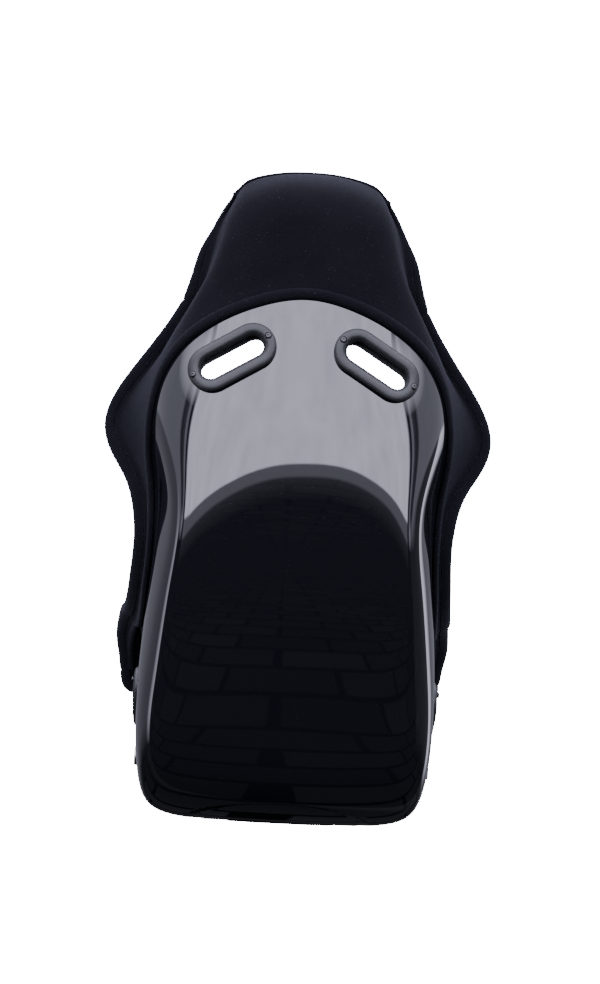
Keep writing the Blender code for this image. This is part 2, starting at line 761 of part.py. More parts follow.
def over_base_pad(rise):
    """Height rule for anything laid on the base pad."""
    return lambda s, v: PAD_BASE + pad_thickness(s, v) + rise


CUSHION_SEAT = over_base_pad(2 * STRIP_THICKNESS + 3 * FIT)
LIFT = Vector((0.0, -0.34, 0.94)).normalized()


def cushion_rows():
    """Underside and top of the cushion: it follows the pan and crowns in the middle."""
    s_values = mirrored([0.0, 0.9, 1.8, 2.3, CUSHION_SIDE])
    v_values = between(CUSHION_FRONT, CUSHION_REAR, V_LINES)
    under = surface(s_values, v_values, CUSHION_SEAT)
    top = []
    for v in v_values:
        ends = min(v - CUSHION_FRONT, CUSHION_REAR - v)
        row = []
        for s in s_values:
            rounding = smooth_step(-0.15, 0.9, ends) * smooth_step(-0.05, 0.9, CUSHION_SIDE - abs(s))
            thick = CUSHION_THICKNESS * (0.45 + 0.55 * rounding)
            row.append(lifted(s, v, CUSHION_SEAT(s, v)) + LIFT * thick)
        top.append(row)
    return under, top


under, top = cushion_rows()
cushion = slab("seat_cushion", under, top, "fabric_grey")
gap = slot_cutter("cut_cushion", frame_crotch, CROTCH_HALF, CROTCH_HALF_WIDTH, RING_WIDTH + 0.002, -0.3, 0.1)
cut(cushion, gap)
for hand, columns in (("left", [0.9, 1.8]), ("right", [-1.8, -0.9])):
    rows = between(1.25, 3.75, V_LINES)
    for label, low in (("hook", FIT), ("loop", 2 * FIT + STRIP_THICKNESS)):
        under = surface(columns, rows, over_base_pad(low))
        top = surface(columns, rows, over_base_pad(low + STRIP_THICKNESS))
        slab(label + "_strip_" + hand, under, top, "hook_tape")
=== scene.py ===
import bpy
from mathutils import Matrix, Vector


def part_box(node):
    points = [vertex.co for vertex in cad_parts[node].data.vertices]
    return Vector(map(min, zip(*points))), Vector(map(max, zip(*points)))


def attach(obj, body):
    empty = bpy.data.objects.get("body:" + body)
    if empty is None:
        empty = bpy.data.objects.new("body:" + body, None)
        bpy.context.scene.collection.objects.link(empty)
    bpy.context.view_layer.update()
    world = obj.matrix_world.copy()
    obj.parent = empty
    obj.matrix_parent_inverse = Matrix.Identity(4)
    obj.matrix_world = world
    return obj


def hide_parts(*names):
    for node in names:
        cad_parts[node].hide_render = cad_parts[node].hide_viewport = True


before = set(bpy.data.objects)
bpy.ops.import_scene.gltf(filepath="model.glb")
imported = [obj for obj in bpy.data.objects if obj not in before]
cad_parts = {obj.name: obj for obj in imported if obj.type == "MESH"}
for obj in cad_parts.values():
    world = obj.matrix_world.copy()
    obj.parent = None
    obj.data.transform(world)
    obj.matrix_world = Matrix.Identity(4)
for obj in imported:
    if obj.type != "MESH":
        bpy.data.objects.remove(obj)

"""Looks of a fixed-back racing seat: gloss moulded shell, sewn upholstery, slot bezels and fixings.

Metres, +Z up, the seat faces -Y.  Every laid piece starts as a flat pattern whose X is s
(across the seat, 0 at the middle, 7 at the rim) and whose Y is v (along it, 0 at the front
lip, 14 at the top of the head), and is then laid on the seat's form at a height inside it.
"""
import math

import bpy
import numpy as np
from mathutils import Matrix, Vector
from mathutils.bvhtree import BVHTree

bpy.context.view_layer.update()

# ---- seat form
# Spine y, z; rim y, z; crease half width, crown; body half width, cheek, corner height;
# rim half width, fall of the flange: all in millimetres here.
STATIONS = np.array((
    (-325, 103, -310, 124, 150, 3, 197, 6, 6, 246, 4),
    (-262, 70, -276, 196, 146, 3, 198, 8, 22, 252, 4),
    (-180, 30, -200, 243, 140, 3, 198, 10, 36, 243, 4),
    (-80, -3, -92, 259, 136, 2, 198, 10, 44, 232, 4),
    (40, -8, 0, 269, 134, 2, 199, 10, 44, 222, 4),
    (150, -1, 62, 292, 132, 4, 200, 10, 44, 214, 4),
    (224, 55, 98, 324, 132, 8, 200, 14, 42, 209, 4),
    (250, 153, 120, 361, 133, 12, 192, 18, 34, 205, 4),
    (262, 291, 128, 410, 136, 12, 177, 12, 24, 206, 4),
    (260, 423, 104, 473, 138, 12, 171, 14, 24, 226, 4),
    (241, 551, 78, 540, 146, 16, 198, 26, 30, 257, 4),
    (206, 678, 92, 624, 124, 16, 180, 26, 26, 209, 4),
    (190, 780, 118, 704, 92, 12, 132, 20, 22, 158, 5),
    (172, 853, 124, 784, 72, 10, 110, 16, 18, 139, 8),
    (120, 888, 116, 843, 56, 5, 93, 8, 8, 113, 9),
)) / 1000.0
RIM, LAST = 7.0, 14.0
FLANGE = 0.014              # how far in from the rim the flange starts
SHELL_WALL = 0.004
PAD_BASE = 0.0065           # underside of the pads
RIM_PAD = 0.010             # foam over the rim and at the ends
FOAM_BACK, FOAM_LUMBAR, FOAM_HEAD = 0.026, 0.008, 0.010        # the back, and what two parts add to it
FOAM_PAN, FOAM_MIDDLE, FOAM_BOLSTER = 0.014, 0.016, 0.030
PAD_CROWN, PAD_SINK = 0.0035, 0.0012    # how much a pad swells, and how far its cloth is pulled down
COVER = 0.005               # outside of the sewn back cover
CUSHION_SPAN = 2.55         # s of the cushion's sides
CUSHION_ENDS = (0.35, 4.55)
CUSHION_DEPTH = 0.058
CUSHION_TUCK = 0.014        # what seams and tape take off its depth
LIFT = Vector((0.0, -0.34, 0.94)).normalized()
HEM = np.array((
    (6.0, 0.5), (6.0, 2.0), (6.0, 3.5), (6.0, 5.0), (6.0, 6.5), (5.95, 7.6), (5.6, 8.6),
    (5.0, 9.3), (4.4, 9.75), (3.9, 10.1), (3.35, 10.5), (2.55, 10.86), (1.3, 11.15), (0.0, 11.28),
))
# where the cover reaches the rim, across from each point of the hem
HEM_RIM = np.array((
    (7.0, 0.5), (7.0, 2.0), (7.0, 3.5), (7.0, 5.0), (7.0, 6.5), (7.0, 7.75), (7.0, 9.0),
    (7.0, 10.2), (7.0, 11.3), (7.0, 12.5), (7.0, 14.0), (4.9, 14.0), (2.5, 14.0), (0.0, 14.0),
))
HEM_WIDTH = 0.015


def moments(rows):
    """Second differences of the natural cubic spline through the rows."""
    count = len(rows)
    system = np.eye(count)
    bend = np.zeros_like(rows)
    for i in range(1, count - 1):
        system[i, i - 1:i + 2] = (1.0, 4.0, 1.0)
        bend[i] = 6.0 * (rows[i - 1] - 2.0 * rows[i] + rows[i + 1])
    return np.linalg.solve(system, bend)


MOMENTS = moments(STATIONS)


def form(s, v):
    """Points of the outside of the shell at pattern places s, v (arrays)."""
    v = np.clip(v, 0.0, LAST)
    i = np.minimum(v.astype(int), int(LAST) - 1)
    t = (v - i)[..., None]
    row = (1 - t) * STATIONS[i] + t * STATIONS[i + 1]
    row = row + ((1 - t) ** 3 - (1 - t)) / 6 * MOMENTS[i] + (t ** 3 - t) / 6 * MOMENTS[i + 1]
    spine_y, spine_z, rim_y, rim_z, crease, crown, body, cheek, corner, rim, fall = np.moveaxis(row, -1, 0)
    reach = np.hypot(rim_y - spine_y, rim_z - spine_z)
    low = crown + cheek + corner
    flat = np.zeros_like(low)
    across = np.stack((-0.5 * crease, flat, 0.5 * crease, crease, body - 0.25 * (body - crease), body,
                       body + 0.30 * (rim - body), rim - FLANGE, rim, rim + FLANGE))
    above = np.stack((0.12 * crown, flat, 0.12 * crown, crown, crown + cheek, low,
                      0.5 * (low + reach), reach - fall, reach, reach + fall))
    side = np.abs(s)
    k = np.minimum(side.astype(int), 6)
    u = side - k
    weights = ((1 - u) ** 3 / 6, (3 * u ** 3 - 6 * u * u + 4) / 6,
               (-3 * u ** 3 + 3 * u * u + 3 * u + 1) / 6, u ** 3 / 6)
    x = sum(w * np.take_along_axis(across, (k + n)[None], 0)[0] for n, w in enumerate(weights))
    h = sum(w * np.take_along_axis(above, (k + n)[None], 0)[0] for n, w in enumerate(weights))
    return np.stack((np.sign(s) * x, spine_y + (rim_y - spine_y) / reach * h,
                     spine_z + (rim_z - spine_z) / reach * h), -1)


def unit(vectors):
    return vectors / np.linalg.norm(vectors, axis=-1, keepdims=True)


def facing(s, v):
    """Unit normals of the form, towards the sitter."""
    e = 0.01
    across = form(np.minimum(s + e, RIM), v) - form(np.maximum(s - e, -RIM), v)
    along = form(s, np.minimum(v + e, LAST)) - form(s, np.maximum(v - e, 0.0))
    return unit(np.cross(across, along))


def laid(s, v, height):
    """Points the given height inside the form, never under the flat of the base."""
    s, v = np.broadcast_arrays(np.asarray(s, float), np.asarray(v, float))
    points = form(s, v) + facing(s, v) * np.asarray(height)[..., None]
    points[..., 2] = np.maximum(points[..., 2], height)
    return points


def smooth_step(low, high, value):
    t = np.clip((value - low) / (high - low), 0.0, 1.0)
    return t * t * (3 - 2 * t)


def foam(s, v):
    """Foam thickness on the inside of the shell."""
    side = np.abs(s)
    pan = 1 - smooth_step(4.2, 6.2, v)
    lumbar = smooth_step(5.0, 6.6, v) * (1 - smooth_step(7.8, 9.4, v))
    head = smooth_step(10.8, 12.0, v)
    centre = FOAM_BACK + FOAM_LUMBAR * lumbar + FOAM_HEAD * head
    centre = centre + (FOAM_PAN - centre) * pan
    middle = centre + (FOAM_MIDDLE - centre) * smooth_step(1.6, 3.4, side)
    bolster = FOAM_BOLSTER * (1 - 0.4 * smooth_step(11.0, 13.0, v))
    wall = middle + (bolster - middle) * smooth_step(3.6, 5.2, side)
    thick = wall + (RIM_PAD - wall) * smooth_step(5.4, RIM, side)
    ends = np.maximum(smooth_step(12.6, LAST, v), 1 - smooth_step(0.0, 0.9, v))
    return thick + (RIM_PAD - thick) * ends


# ---- bench tools


def only(piece):
    """Leave one piece selected and active."""
    bpy.ops.object.select_all(action="DESELECT")
    piece.select_set(True)
    bpy.context.view_layer.objects.active = piece
    return piece


def named(name):
    """The primitive that was just added, under its own name."""
    piece = bpy.context.active_object
    piece.name = piece.data.name = name
    return only(piece)


def edit(*steps, picked=False):
    """Run edit-mode steps on everything in the active piece, or on what was picked before."""
    bpy.ops.object.mode_set(mode="EDIT")
    if not picked:
        bpy.ops.mesh.select_all(action="SELECT")
    for step in steps:
        step()
    bpy.ops.object.mode_set(mode="OBJECT")


def places(piece):
    """Vertex places of a piece as an array."""
    flat = np.empty(3 * len(piece.data.vertices))
    piece.data.vertices.foreach_get("co", flat)
    return flat.reshape(-1, 3)


def set_places(piece, points):
    piece.data.vertices.foreach_set("co", np.ascontiguousarray(points).ravel())
    piece.data.update()


def pattern(name, s_range, v_range, s_cells, v_cells):
    """A flat pattern in s and v."""
    bpy.ops.mesh.primitive_grid_add(x_subdivisions=s_cells, y_subdivisions=v_cells, size=1)
    piece = named(name)
    flat = places(piece)
    flat[:, 0] = s_range[0] + (flat[:, 0] + 0.5) * (s_range[1] - s_range[0])
    flat[:, 1] = v_range[0] + (flat[:, 1] + 0.5) * (v_range[1] - v_range[0])
    set_places(piece, flat)
    return piece


def thicken(rise=1):
    """Pull a second skin off the first, along Z."""
    bpy.ops.mesh.extrude_region_move(TRANSFORM_OT_translate={"value": (0, 0, rise)})


def inset(width):
    """An edit-mode step that insets the picked faces."""
    return lambda: bpy.ops.mesh.inset(thickness=width, depth=0.0)


def outward():
    bpy.ops.mesh.normals_make_consistent(inside=False)


def smoothed(piece, angle):
    only(piece)
    bpy.ops.object.shade_smooth_by_angle(angle=math.radians(angle))
    return piece


def apply_modifier(piece, kind, **settings):
    step = piece.modifiers.new(kind.lower(), kind)
    for key, value in settings.items():
        setattr(step, key, value)
    only(piece)
    bpy.ops.object.modifier_apply(modifier=step.name)


METRES_PER_S, METRES_PER_V = 0.052, 0.105       # middle of the back


def metres_uv(piece, flat):
    """A UV map in metres from pattern places, for weaves that follow the cloth."""
    layer = piece.data.uv_layers.new(name="cloth")
    corner = np.empty(len(piece.data.loops), int)
    piece.data.loops.foreach_get("vertex_index", corner)
    metres = flat[corner, :2] * (METRES_PER_S, METRES_PER_V)
    layer.data.foreach_set("uv", np.ascontiguousarray(metres).ravel())


def seat_piece(piece, slot, node, body="seat"):
    """Give a finished piece its material, hang it on its body and hide the part it stands for."""
    piece.data.materials.clear()
    piece.data.materials.append(FINISH[slot])
    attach(piece, body)
    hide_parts(node)


def sewn_piece(piece, slot, node, angle=60, body="seat"):
    """The same for cloth over foam."""
    smoothed(piece, angle)
    seat_piece(piece, slot, node, body)


# ---- finishes


def set_stops(elements, stops):
    """Give a colour ramp its stops: a place and a grey each."""
    while len(elements) < len(stops):
        elements.new(0.5)
    for element, (place, grey) in zip(elements, stops):
        element.position = place
        element.color = (grey, grey, grey, 1)


def operator(name, flipped=False):
    """An operator of Python that adds a maths node."""
    return lambda self, other: self.maths(name, *((other, self) if flipped else (self, other)))


class Flow:
    """A shader socket that takes part in Python arithmetic."""

    def __init__(self, tree, socket):
        self.tree = tree
        self.socket = socket

    def node(self, kind, settings=None, output=0, **inputs):
        """Add a node: settings first, then values or links of its sockets."""
        made = self.tree.nodes.new(kind)
        for key, value in (settings or {}).items():
            if key == "stops":
                set_stops(made.color_ramp.elements, value)
            else:
                setattr(made, key, value)
        for key, value in inputs.items():
            numbered = key[0] == "i" and key[1:].isdigit()
            socket = made.inputs[int(key[1:]) if numbered else key.replace("_", " ")]
            if isinstance(value, Flow):
                self.tree.links.new(value.socket, socket)
            else:
                socket.default_value = value
        return Flow(self.tree, made.outputs[output])

    def maths(self, operation, first, second=0.0):
        return self.node("ShaderNodeMath", {"operation": operation}, i0=first, i1=second)

    __add__, __radd__ = operator("ADD"), operator("ADD", True)
    __sub__, __rsub__ = operator("SUBTRACT"), operator("SUBTRACT", True)
    __mul__, __rmul__ = operator("MULTIPLY"), operator("MULTIPLY", True)
    __truediv__, __pow__ = operator("DIVIDE"), operator("POWER")

    def noise(self, scale, detail=2.0, roughness=0.5):
        return self.node("ShaderNodeTexNoise", None, 0, Vector=self, Scale=scale, Detail=detail,
                         Roughness=roughness)

    def stretched(self, x, y, z):
        return self.node("ShaderNodeMapping", {"vector_type": "POINT"}, 0, Vector=self, Scale=(x, y, z))

    def ramp(self, *stops):
        return self.node("ShaderNodeValToRGB", {"stops": stops}, 0, Fac=self)

    def mixed(self, one, two):
        """One colour to another, by this value."""
        return self.node("ShaderNodeMix", {"data_type": "RGBA"}, 2, Factor=self, i6=one, i7=two)

    def bump(self, distance, strength):
        return self.node("ShaderNodeBump", None, 0, Height=self, Distance=distance, Strength=strength)


def finish(name, **fixed):
    """A new material, its Principled shader and its Object coordinates."""
    made = bpy.data.materials.new(name)
    made.use_nodes = True
    tree = made.node_tree
    shader = tree.nodes["Principled BSDF"]
    for key, value in fixed.items():
        shader.inputs[key.replace("_", " ")].default_value = value
    return made, shader, Flow(tree, None).node("ShaderNodeTexCoord", None, 3)


def feed(shader, flow, socket):
    flow.tree.links.new(flow.socket, shader.inputs[socket])


def rgb(r, g, b):
    return (r, g, b, 1.0)


def gelcoat():
    """Polished black gelcoat: slow waves and a fine peel from the mould, and faint dust."""
    made, shader, spot = finish("gelcoat_black", Specular_IOR_Level=0.8, Coat_Weight=1.0, Coat_Roughness=0.02,
                                Coat_IOR=1.55)
    dust = spot.noise(900.0, 1.0).ramp((0.76, 0.0), (0.80, 1.0))
    patch = spot.noise(9.0, 2.0)
    feed(shader, (dust * 0.5 * patch).mixed(rgb(0.006, 0.007, 0.010), rgb(0.10, 0.10, 0.11)), "Base Color")
    feed(shader, 0.015 + dust * 0.3 + patch * 0.02, "Roughness")
    waves = spot.stretched(9.0, 9.0, 1.6).noise(1.0, 2.0)
    peel = spot.noise(260.0, 1.0)
    feed(shader, (waves + peel * 0.004).bump(0.0012, 0.5), "Normal")
    return made


def cloth(name, dark, light):
    """Dense napped cloth: short pile, a little lighter where it lies the other way."""
    made, shader, spot = finish(name, Specular_IOR_Level=0.10, Sheen_Weight=0.07, Sheen_Roughness=0.5,
                                Sheen_Tint=rgb(0.75, 0.78, 1.0))
    pile = spot.noise(1500.0, 2.0, 0.7)
    brushed = spot.noise(14.0, 3.0, 0.6)
    lint = spot.noise(520.0, 0.0).ramp((0.79, 0.0), (0.82, 1.0))
    shade = (pile * 0.55 + brushed * 0.45).ramp((0.35, 0.0), (0.68, 1.0))
    nap = shade.mixed(rgb(*dark), rgb(*light))
    feed(shader, (lint * 0.25).mixed(nap, rgb(0.12, 0.12, 0.13)), "Base Color")
    feed(shader, 0.95 - pile * 0.1, "Roughness")
    feed(shader, (pile + brushed * 1.5).bump(0.0006, 0.45), "Normal")
    return made


def woven(name, dark, light):
    """Ribbed seat cloth: a fine two-way weave on the cloth's own UV map."""
    made, shader, spot = finish(name, Specular_IOR_Level=0.15, Sheen_Weight=0.2, Sheen_Roughness=0.4)
    cloth_map = spot.node("ShaderNodeUVMap", {"uv_map": "cloth"})
    threads = [cloth_map.node("ShaderNodeTexWave", {"bands_direction": way}, 1, Vector=cloth_map, Scale=160.0)
               for way in "XY"]
    weave = threads[0] * threads[1]
    pile = spot.noise(1300.0, 2.0, 0.7)
    shade = (weave * 0.6 + pile * 0.4).ramp((0.15, 0.0), (0.7, 1.0))
    feed(shader, shade.mixed(rgb(*dark), rgb(*light)), "Base Color")
    feed(shader, 0.92 - weave * 0.1, "Roughness")
    feed(shader, (weave + pile * 0.5).bump(0.0005, 0.6), "Normal")
    return made


def moulded():
    """Satin moulded plastic with a fine spark-eroded grain."""
    made, shader, spot = finish("plastic_dark", Specular_IOR_Level=0.5)
    grain = spot.noise(2200.0, 2.0, 0.6)
    rubbed = spot.noise(60.0, 3.0)
    feed(shader, rubbed.mixed(rgb(0.020, 0.021, 0.024), rgb(0.030, 0.031, 0.034)), "Base Color")
    feed(shader, 0.36 + grain * 0.10 + rubbed * 0.06, "Roughness")
    feed(shader, grain.bump(0.0002, 0.35), "Normal")
    return made


def metal(name, colour, rough, grain_size):
    """Plated or blacked steel with turning marks and handling scuffs."""
    made, shader, spot = finish(name, Metallic=1.0)
    scuff = spot.noise(350.0, 4.0, 0.7)
    marks = spot.stretched(1.0, 1.0, grain_size).noise(900.0, 2.0)
    darker = rgb(*(0.6 * part for part in colour))
    feed(shader, scuff.mixed(darker, rgb(*colour)), "Base Color")
    feed(shader, rough + scuff * 0.15, "Roughness")
    feed(shader, marks.bump(0.0001, 0.3), "Normal")
    return made


def hook_tape():
    """Pile of touch tape, the same on hooks and loops."""
    made, shader, spot = finish("hook_tape", Specular_IOR_Level=0.2)
    loops = spot.node("ShaderNodeTexVoronoi", {"feature": "F1"}, 0, Vector=spot, Scale=900.0)
    feed(shader, loops.mixed(rgb(0.035, 0.035, 0.038), rgb(0.010, 0.010, 0.011)), "Base Color")
    feed(shader, 0.85 + loops * 0.1, "Roughness")
    feed(shader, (1 - loops).bump(0.0008, 0.8), "Normal")
    return made


FINISH = {
    "gelcoat_black": gelcoat(),
    "fabric_black": cloth("fabric_black", (0.0038, 0.0038, 0.0062), (0.0082, 0.0082, 0.0118)),
    "fabric_grey": woven("fabric_grey", (0.012, 0.012, 0.014), (0.045, 0.045, 0.050)),
    "plastic_dark": moulded(),
    "steel_black": metal("steel_black", (0.10, 0.10, 0.105), 0.30, 6.0),
    "steel_zinc": metal("steel_zinc", (0.62, 0.62, 0.60), 0.28, 8.0),
    "hook_tape": hook_tape(),
}


# ---- shell


def skin_tree(rule):
    """A ray target at a height rule over the form."""
    s, v = np.meshgrid(np.linspace(-RIM, RIM, 113), np.linspace(0.0, LAST, 225))
    points = laid(s, v, rule(s, v))
    rows, columns = s.shape
    index = np.arange(rows * columns).reshape(rows, columns)
    quads = np.stack((index[:-1, :-1], index[:-1, 1:], index[1:, 1:], index[1:, :-1]), -1).reshape(-1, 4)
    return BVHTree.FromPolygons(points.reshape(-1, 3).tolist(), quads.tolist())


OUTSIDE = skin_tree(lambda s, v: np.zeros(s.shape))
INSIDE = skin_tree(lambda s, v: PAD_BASE + foam(s, v))


def skin_hit(tree, axes, a, b, side):
    """Height over (a, b) of a slot's frame at which a skin lies, seen from one side."""
    spot = tree.ray_cast(axes @ Vector((a, b, side * 0.3)), axes.to_3x3() @ Vector((0, 0, -side)))[0]
    return (axes.inverted() @ spot).z


def slot_axes(node, out, long_axis):
    """Frame of a harness slot on the skin: X along the slot, Z out of the seat."""
    low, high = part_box(node)
    z = Vector(out)
    x = (Vector(long_axis) - z * Vector(long_axis).dot(z)).normalized()
    axes = Matrix.Translation(0.5 * (low + high)) @ Matrix((x, z.cross(x), z)).transposed().to_4x4()
    return axes @ Matrix.Translation((0, 0, skin_hit(OUTSIDE, axes, 0, 0, 1)))


HANDS = (("left", 1), ("right", -1))
SHOULDER_TILT = math.radians(31)
LAP_TILT = math.radians(40)
RING_WIDTH = 0.017
SLEEVE_ROOM = 0.0035        # from a slot's outline to the cut round its sleeve
SLOTS = {}                  # frame, half length, half width, how deep the sleeve reaches
for hand, sign in HANDS:
    shoulder = (sign * math.cos(SHOULDER_TILT), 0, -math.sin(SHOULDER_TILT))
    axes = slot_axes("shoulder_slot_" + hand + "_bezel_outer", (0, 1, 0), shoulder)
    SLOTS["shoulder_slot_" + hand] = (axes, 0.046, 0.0145, 0.017)
    lap = (0, math.cos(LAP_TILT), math.sin(LAP_TILT))
    axes = slot_axes("lap_slot_" + hand + "_bezel_outer", (sign, 0, 0), lap)
    SLOTS["lap_slot_" + hand] = (axes, 0.032, 0.013, 0.017)
SLOTS["crotch_slot"] = (slot_axes("crotch_slot_bezel_outer", (0, 0, -1), (1, 0, 0)), 0.034, 0.012, 0.010)


def stadium(turn, half_length, half_width, grow):
    """A point of a stadium outline; turn runs evenly along its length from 0 to 1."""
    straight = half_length - half_width
    radius = half_width + grow
    arc = math.pi * half_width
    total = 4 * straight + 2 * arc
    run = (turn % 1.0) * total
    for end in (1, -1):
        if run < arc:
            angle = math.pi * (run / arc - 0.5)
            return end * (straight + radius * math.cos(angle)), end * radius * math.sin(angle)
        run -= arc
        if run < 2 * straight:
            return end * (straight - run), end * radius
        run -= 2 * straight
    return straight, -radius


def slot_plug(name, slot, grow, low, high):
    """A solid of a slot's outline, to cut with."""
    axes, half_length, half_width, _ = SLOTS[slot]
    bpy.ops.mesh.primitive_cylinder_add(vertices=96, radius=1, depth=2)
    plug = named(name)
    flat = places(plug)
    for row in flat:
        turn = math.atan2(row[1], row[0]) / (2 * math.pi)
        a, b = stadium(turn, half_length, half_width, grow)
        row[:] = axes @ Vector((a, b, high if row[2] > 0 else low))
    set_places(plug, flat)
    edit(outward)
    return plug


def cut_away(piece, *plugs):
    for plug in plugs:
        apply_modifier(piece, "BOOLEAN", operation="DIFFERENCE", solver="EXACT", object=plug)
        bpy.data.objects.remove(plug, do_unlink=True)


def insert_places():
    for hand, sign in HANDS:
        for end in ("front", "rear"):
            node = "mount_insert_" + end + "_" + hand
            low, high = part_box(node)
            yield node, sign, low, high


INSERT_GAP = 0.0004
PLUG_OVERRUN = 0.02         # how much longer than the insert its plug is
PLUG_SHIFT = 0.0095         # the overrun is on the outside


def insert_plug(name, sign, low, high):
    """A cylinder round a side-mount insert, to cut its seat."""
    middle = 0.5 * (low + high) + Vector((sign * PLUG_SHIFT, 0, 0))
    bpy.ops.mesh.primitive_cylinder_add(
        vertices=64, radius=0.5 * (high.z - low.z) + INSERT_GAP, depth=high.x - low.x + PLUG_OVERRUN,
        location=middle, rotation=(0, math.pi / 2, 0))
    plug = named(name)
    bpy.ops.object.transform_apply()
    return plug


FOOT_ROWS = ((0.0, 4.2, 7.4, LAST), (0.0, 5.0, 6.2, LAST))     # finer rows at the foot of the back
FOOT_HALF, FOOT_TOP, FOOT_STEP = 0.124, 0.036, 0.0022          # the arched recess in the foot
FOOT_START = 4.9                                               # v behind which the recess lies
FOOT_SOFT = 0.0008                                             # half of the height its step takes


def shell():
    """The moulding: two polished skins and their edge, cut for slots and inserts."""
    piece = pattern("moulded_shell", (-RIM, RIM), (0.0, LAST), 124, 250)
    edit(thicken, outward)
    flat = places(piece)
    s, v = flat[:, 0], np.interp(flat[:, 1], *FOOT_ROWS)
    skin = form(s, v)
    arch = FOOT_TOP * np.sqrt(np.maximum(1 - (skin[:, 0] / FOOT_HALF) ** 2, 0.0)) - skin[:, 2]
    foot = smooth_step(-FOOT_SOFT, FOOT_SOFT, arch) * (v > FOOT_START) * (np.abs(skin[:, 0]) < FOOT_HALF)
    height = np.where(flat[:, 2] > 0.5, SHELL_WALL, FOOT_STEP * foot)
    skin = laid(s, v, height)
    # the base stays flat where the recess runs into it
    skin[:, 2] -= np.where(skin[:, 2] <= height, FOOT_STEP * foot * (flat[:, 2] < 0.5), 0.0)
    set_places(piece, skin)
    edit(outward)
    plugs = [slot_plug("plug_" + slot, slot, SLEEVE_ROOM, -0.12, 0.05) for slot in SLOTS]
    plugs += [insert_plug("plug_" + node, sign, low, high) for node, sign, low, high in insert_places()]
    cut_away(piece, *plugs)
    smoothed(piece, 40)
    seat_piece(piece, "gelcoat_black", "shell")


# ---- trimming


def hem_line(t):
    """s, v along the hem and where the cover meets the rim; t 0 left front, 1 middle, 2 right."""
    side = np.where(t <= 1, 1.0, -1.0)
    u = np.where(t <= 1, t, 2 - t) * (len(HEM) - 1)
    i = np.minimum(u.astype(int), len(HEM) - 2)
    f = (u - i)[:, None]
    lines = []
    for legs in (HEM, HEM_RIM):
        run = np.vstack((legs[:1], legs, (legs[-2] * (-1, 1))[None]))
        p, q, r, w = run[i], run[i + 1], run[i + 2], run[i + 3]
        square, cube = 2 * p - 5 * q + 4 * r - w, 3 * q - p - 3 * r + w
        spot = 0.5 * (2 * q + (r - p) * f + square * f * f + cube * f ** 3)
        spot[:, 0] = np.clip(spot[:, 0] * side, -RIM, RIM)
        spot[:, 1] = np.clip(spot[:, 1], 0.0, LAST)
        lines.append(spot)
    return lines


COVER_BASE = 0.0012         # inside of the sewn back cover
COVER_ROUND, COVER_DROP = 0.004, 0.0016         # width and depth of its rounded edges


def back_cover():
    """The sewn cover on the outside, from its hem to the rim: foam-backed cloth, rounded at both edges."""
    piece = pattern("back_cover_cloth", (0.0, 2.0), (0.0, 1.0), 420, 34)
    edit(thicken, outward)
    flat = places(piece)
    hem, rim = hem_line(flat[:, 0])
    u = flat[:, 1][:, None]
    place = hem * (1 - u) + rim * u
    width = np.linalg.norm(form(rim[:, 0], rim[:, 1]) - form(hem[:, 0], hem[:, 1]), axis=-1)
    edge = np.minimum(flat[:, 1], 1 - flat[:, 1]) * width
    rounding = np.sqrt(1 - (1 - np.clip(edge / COVER_ROUND, 0, 1)) ** 2)
    top = COVER - COVER_DROP * (1 - rounding)
    height = np.where(flat[:, 2] > 0.5, top, COVER_BASE)
    set_places(piece, laid(place[:, 0], place[:, 1], -height))
    edit(outward)
    sewn_piece(piece, "fabric_black", "back_cover")


GATHER = 0.12               # how much a length of trim is drawn in at its ends


def tube(name, path_cells, section, spots, across, upward):
    """A closed length of trim: a section (reach, height) swept along spots."""
    count = len(section)
    bpy.ops.mesh.primitive_grid_add(x_subdivisions=path_cells, y_subdivisions=count, size=1)
    piece = named(name)
    flat = places(piece)
    i = np.rint((flat[:, 0] + 0.5) * path_cells).astype(int)
    k = np.rint((flat[:, 1] + 0.5) * count).astype(int) % count
    reach, height = np.array(section).T
    pull = GATHER * np.exp(-np.minimum(i, path_cells - i))
    reach, height = reach[k] * (1 - pull), height[k] + pull * (height.mean() - height[k])
    set_places(piece, spots[i] + across[i] * reach[:, None] + upward[i] * height[:, None])
    edit(lambda: bpy.ops.mesh.remove_doubles(threshold=1e-6),
         lambda: bpy.ops.mesh.fill_holes(sides=0),
         outward)
    return piece


HEM_HEIGHT = 0.0062


def hem_band():
    """The rolled hem round the arch of the back."""
    cells = 400
    t = np.linspace(0.0, 2.0, cells + 1)
    hem, _ = hem_line(t)
    spots = form(hem[:, 0], hem[:, 1])
    up = -facing(hem[:, 0], hem[:, 1])
    run = unit(np.gradient(spots, axis=0))
    inner = unit(np.cross(up, run))
    section = []
    for turn in np.linspace(0.0, 1.0, 15):
        angle = math.pi * turn
        reach = HEM_WIDTH * (0.5 - 0.5 * math.cos(angle))
        height = COVER_BASE + HEM_HEIGHT * math.sin(angle) ** 0.55
        section.append((reach, height))
    section += [(0.011, 0.0008), (0.004, 0.0008)]
    piece = tube("rolled_hem", cells, section, spots, inner, up)
    sewn_piece(piece, "fabric_black", "hem_band")


RIM_ROWS, END_ROWS = 280, 140           # samples up each side and across each end
CORNER_BLUR = 4.0                       # samples over which the corners are rounded
CORNER_TUCK = 0.005                     # how far the roll is tucked over the rim at the corners
HEAD_SLIM = 0.50                        # how much slimmer the roll is at the corners of the head
HEAD_SWELL = 0.008                      # how much fuller its outside is just inside those corners
ROLL_GAP, ROLL_REACH = 0.0006, 0.0167   # from the rim to the roll, and how far it stands out
ROLL_UNDERLAP = 0.0002                  # how far the roll passes the outside of the cover
FRONT_JOIN, HEAD_JOIN = 0.35, 12.0      # v at which the lengths of roll are sewn together


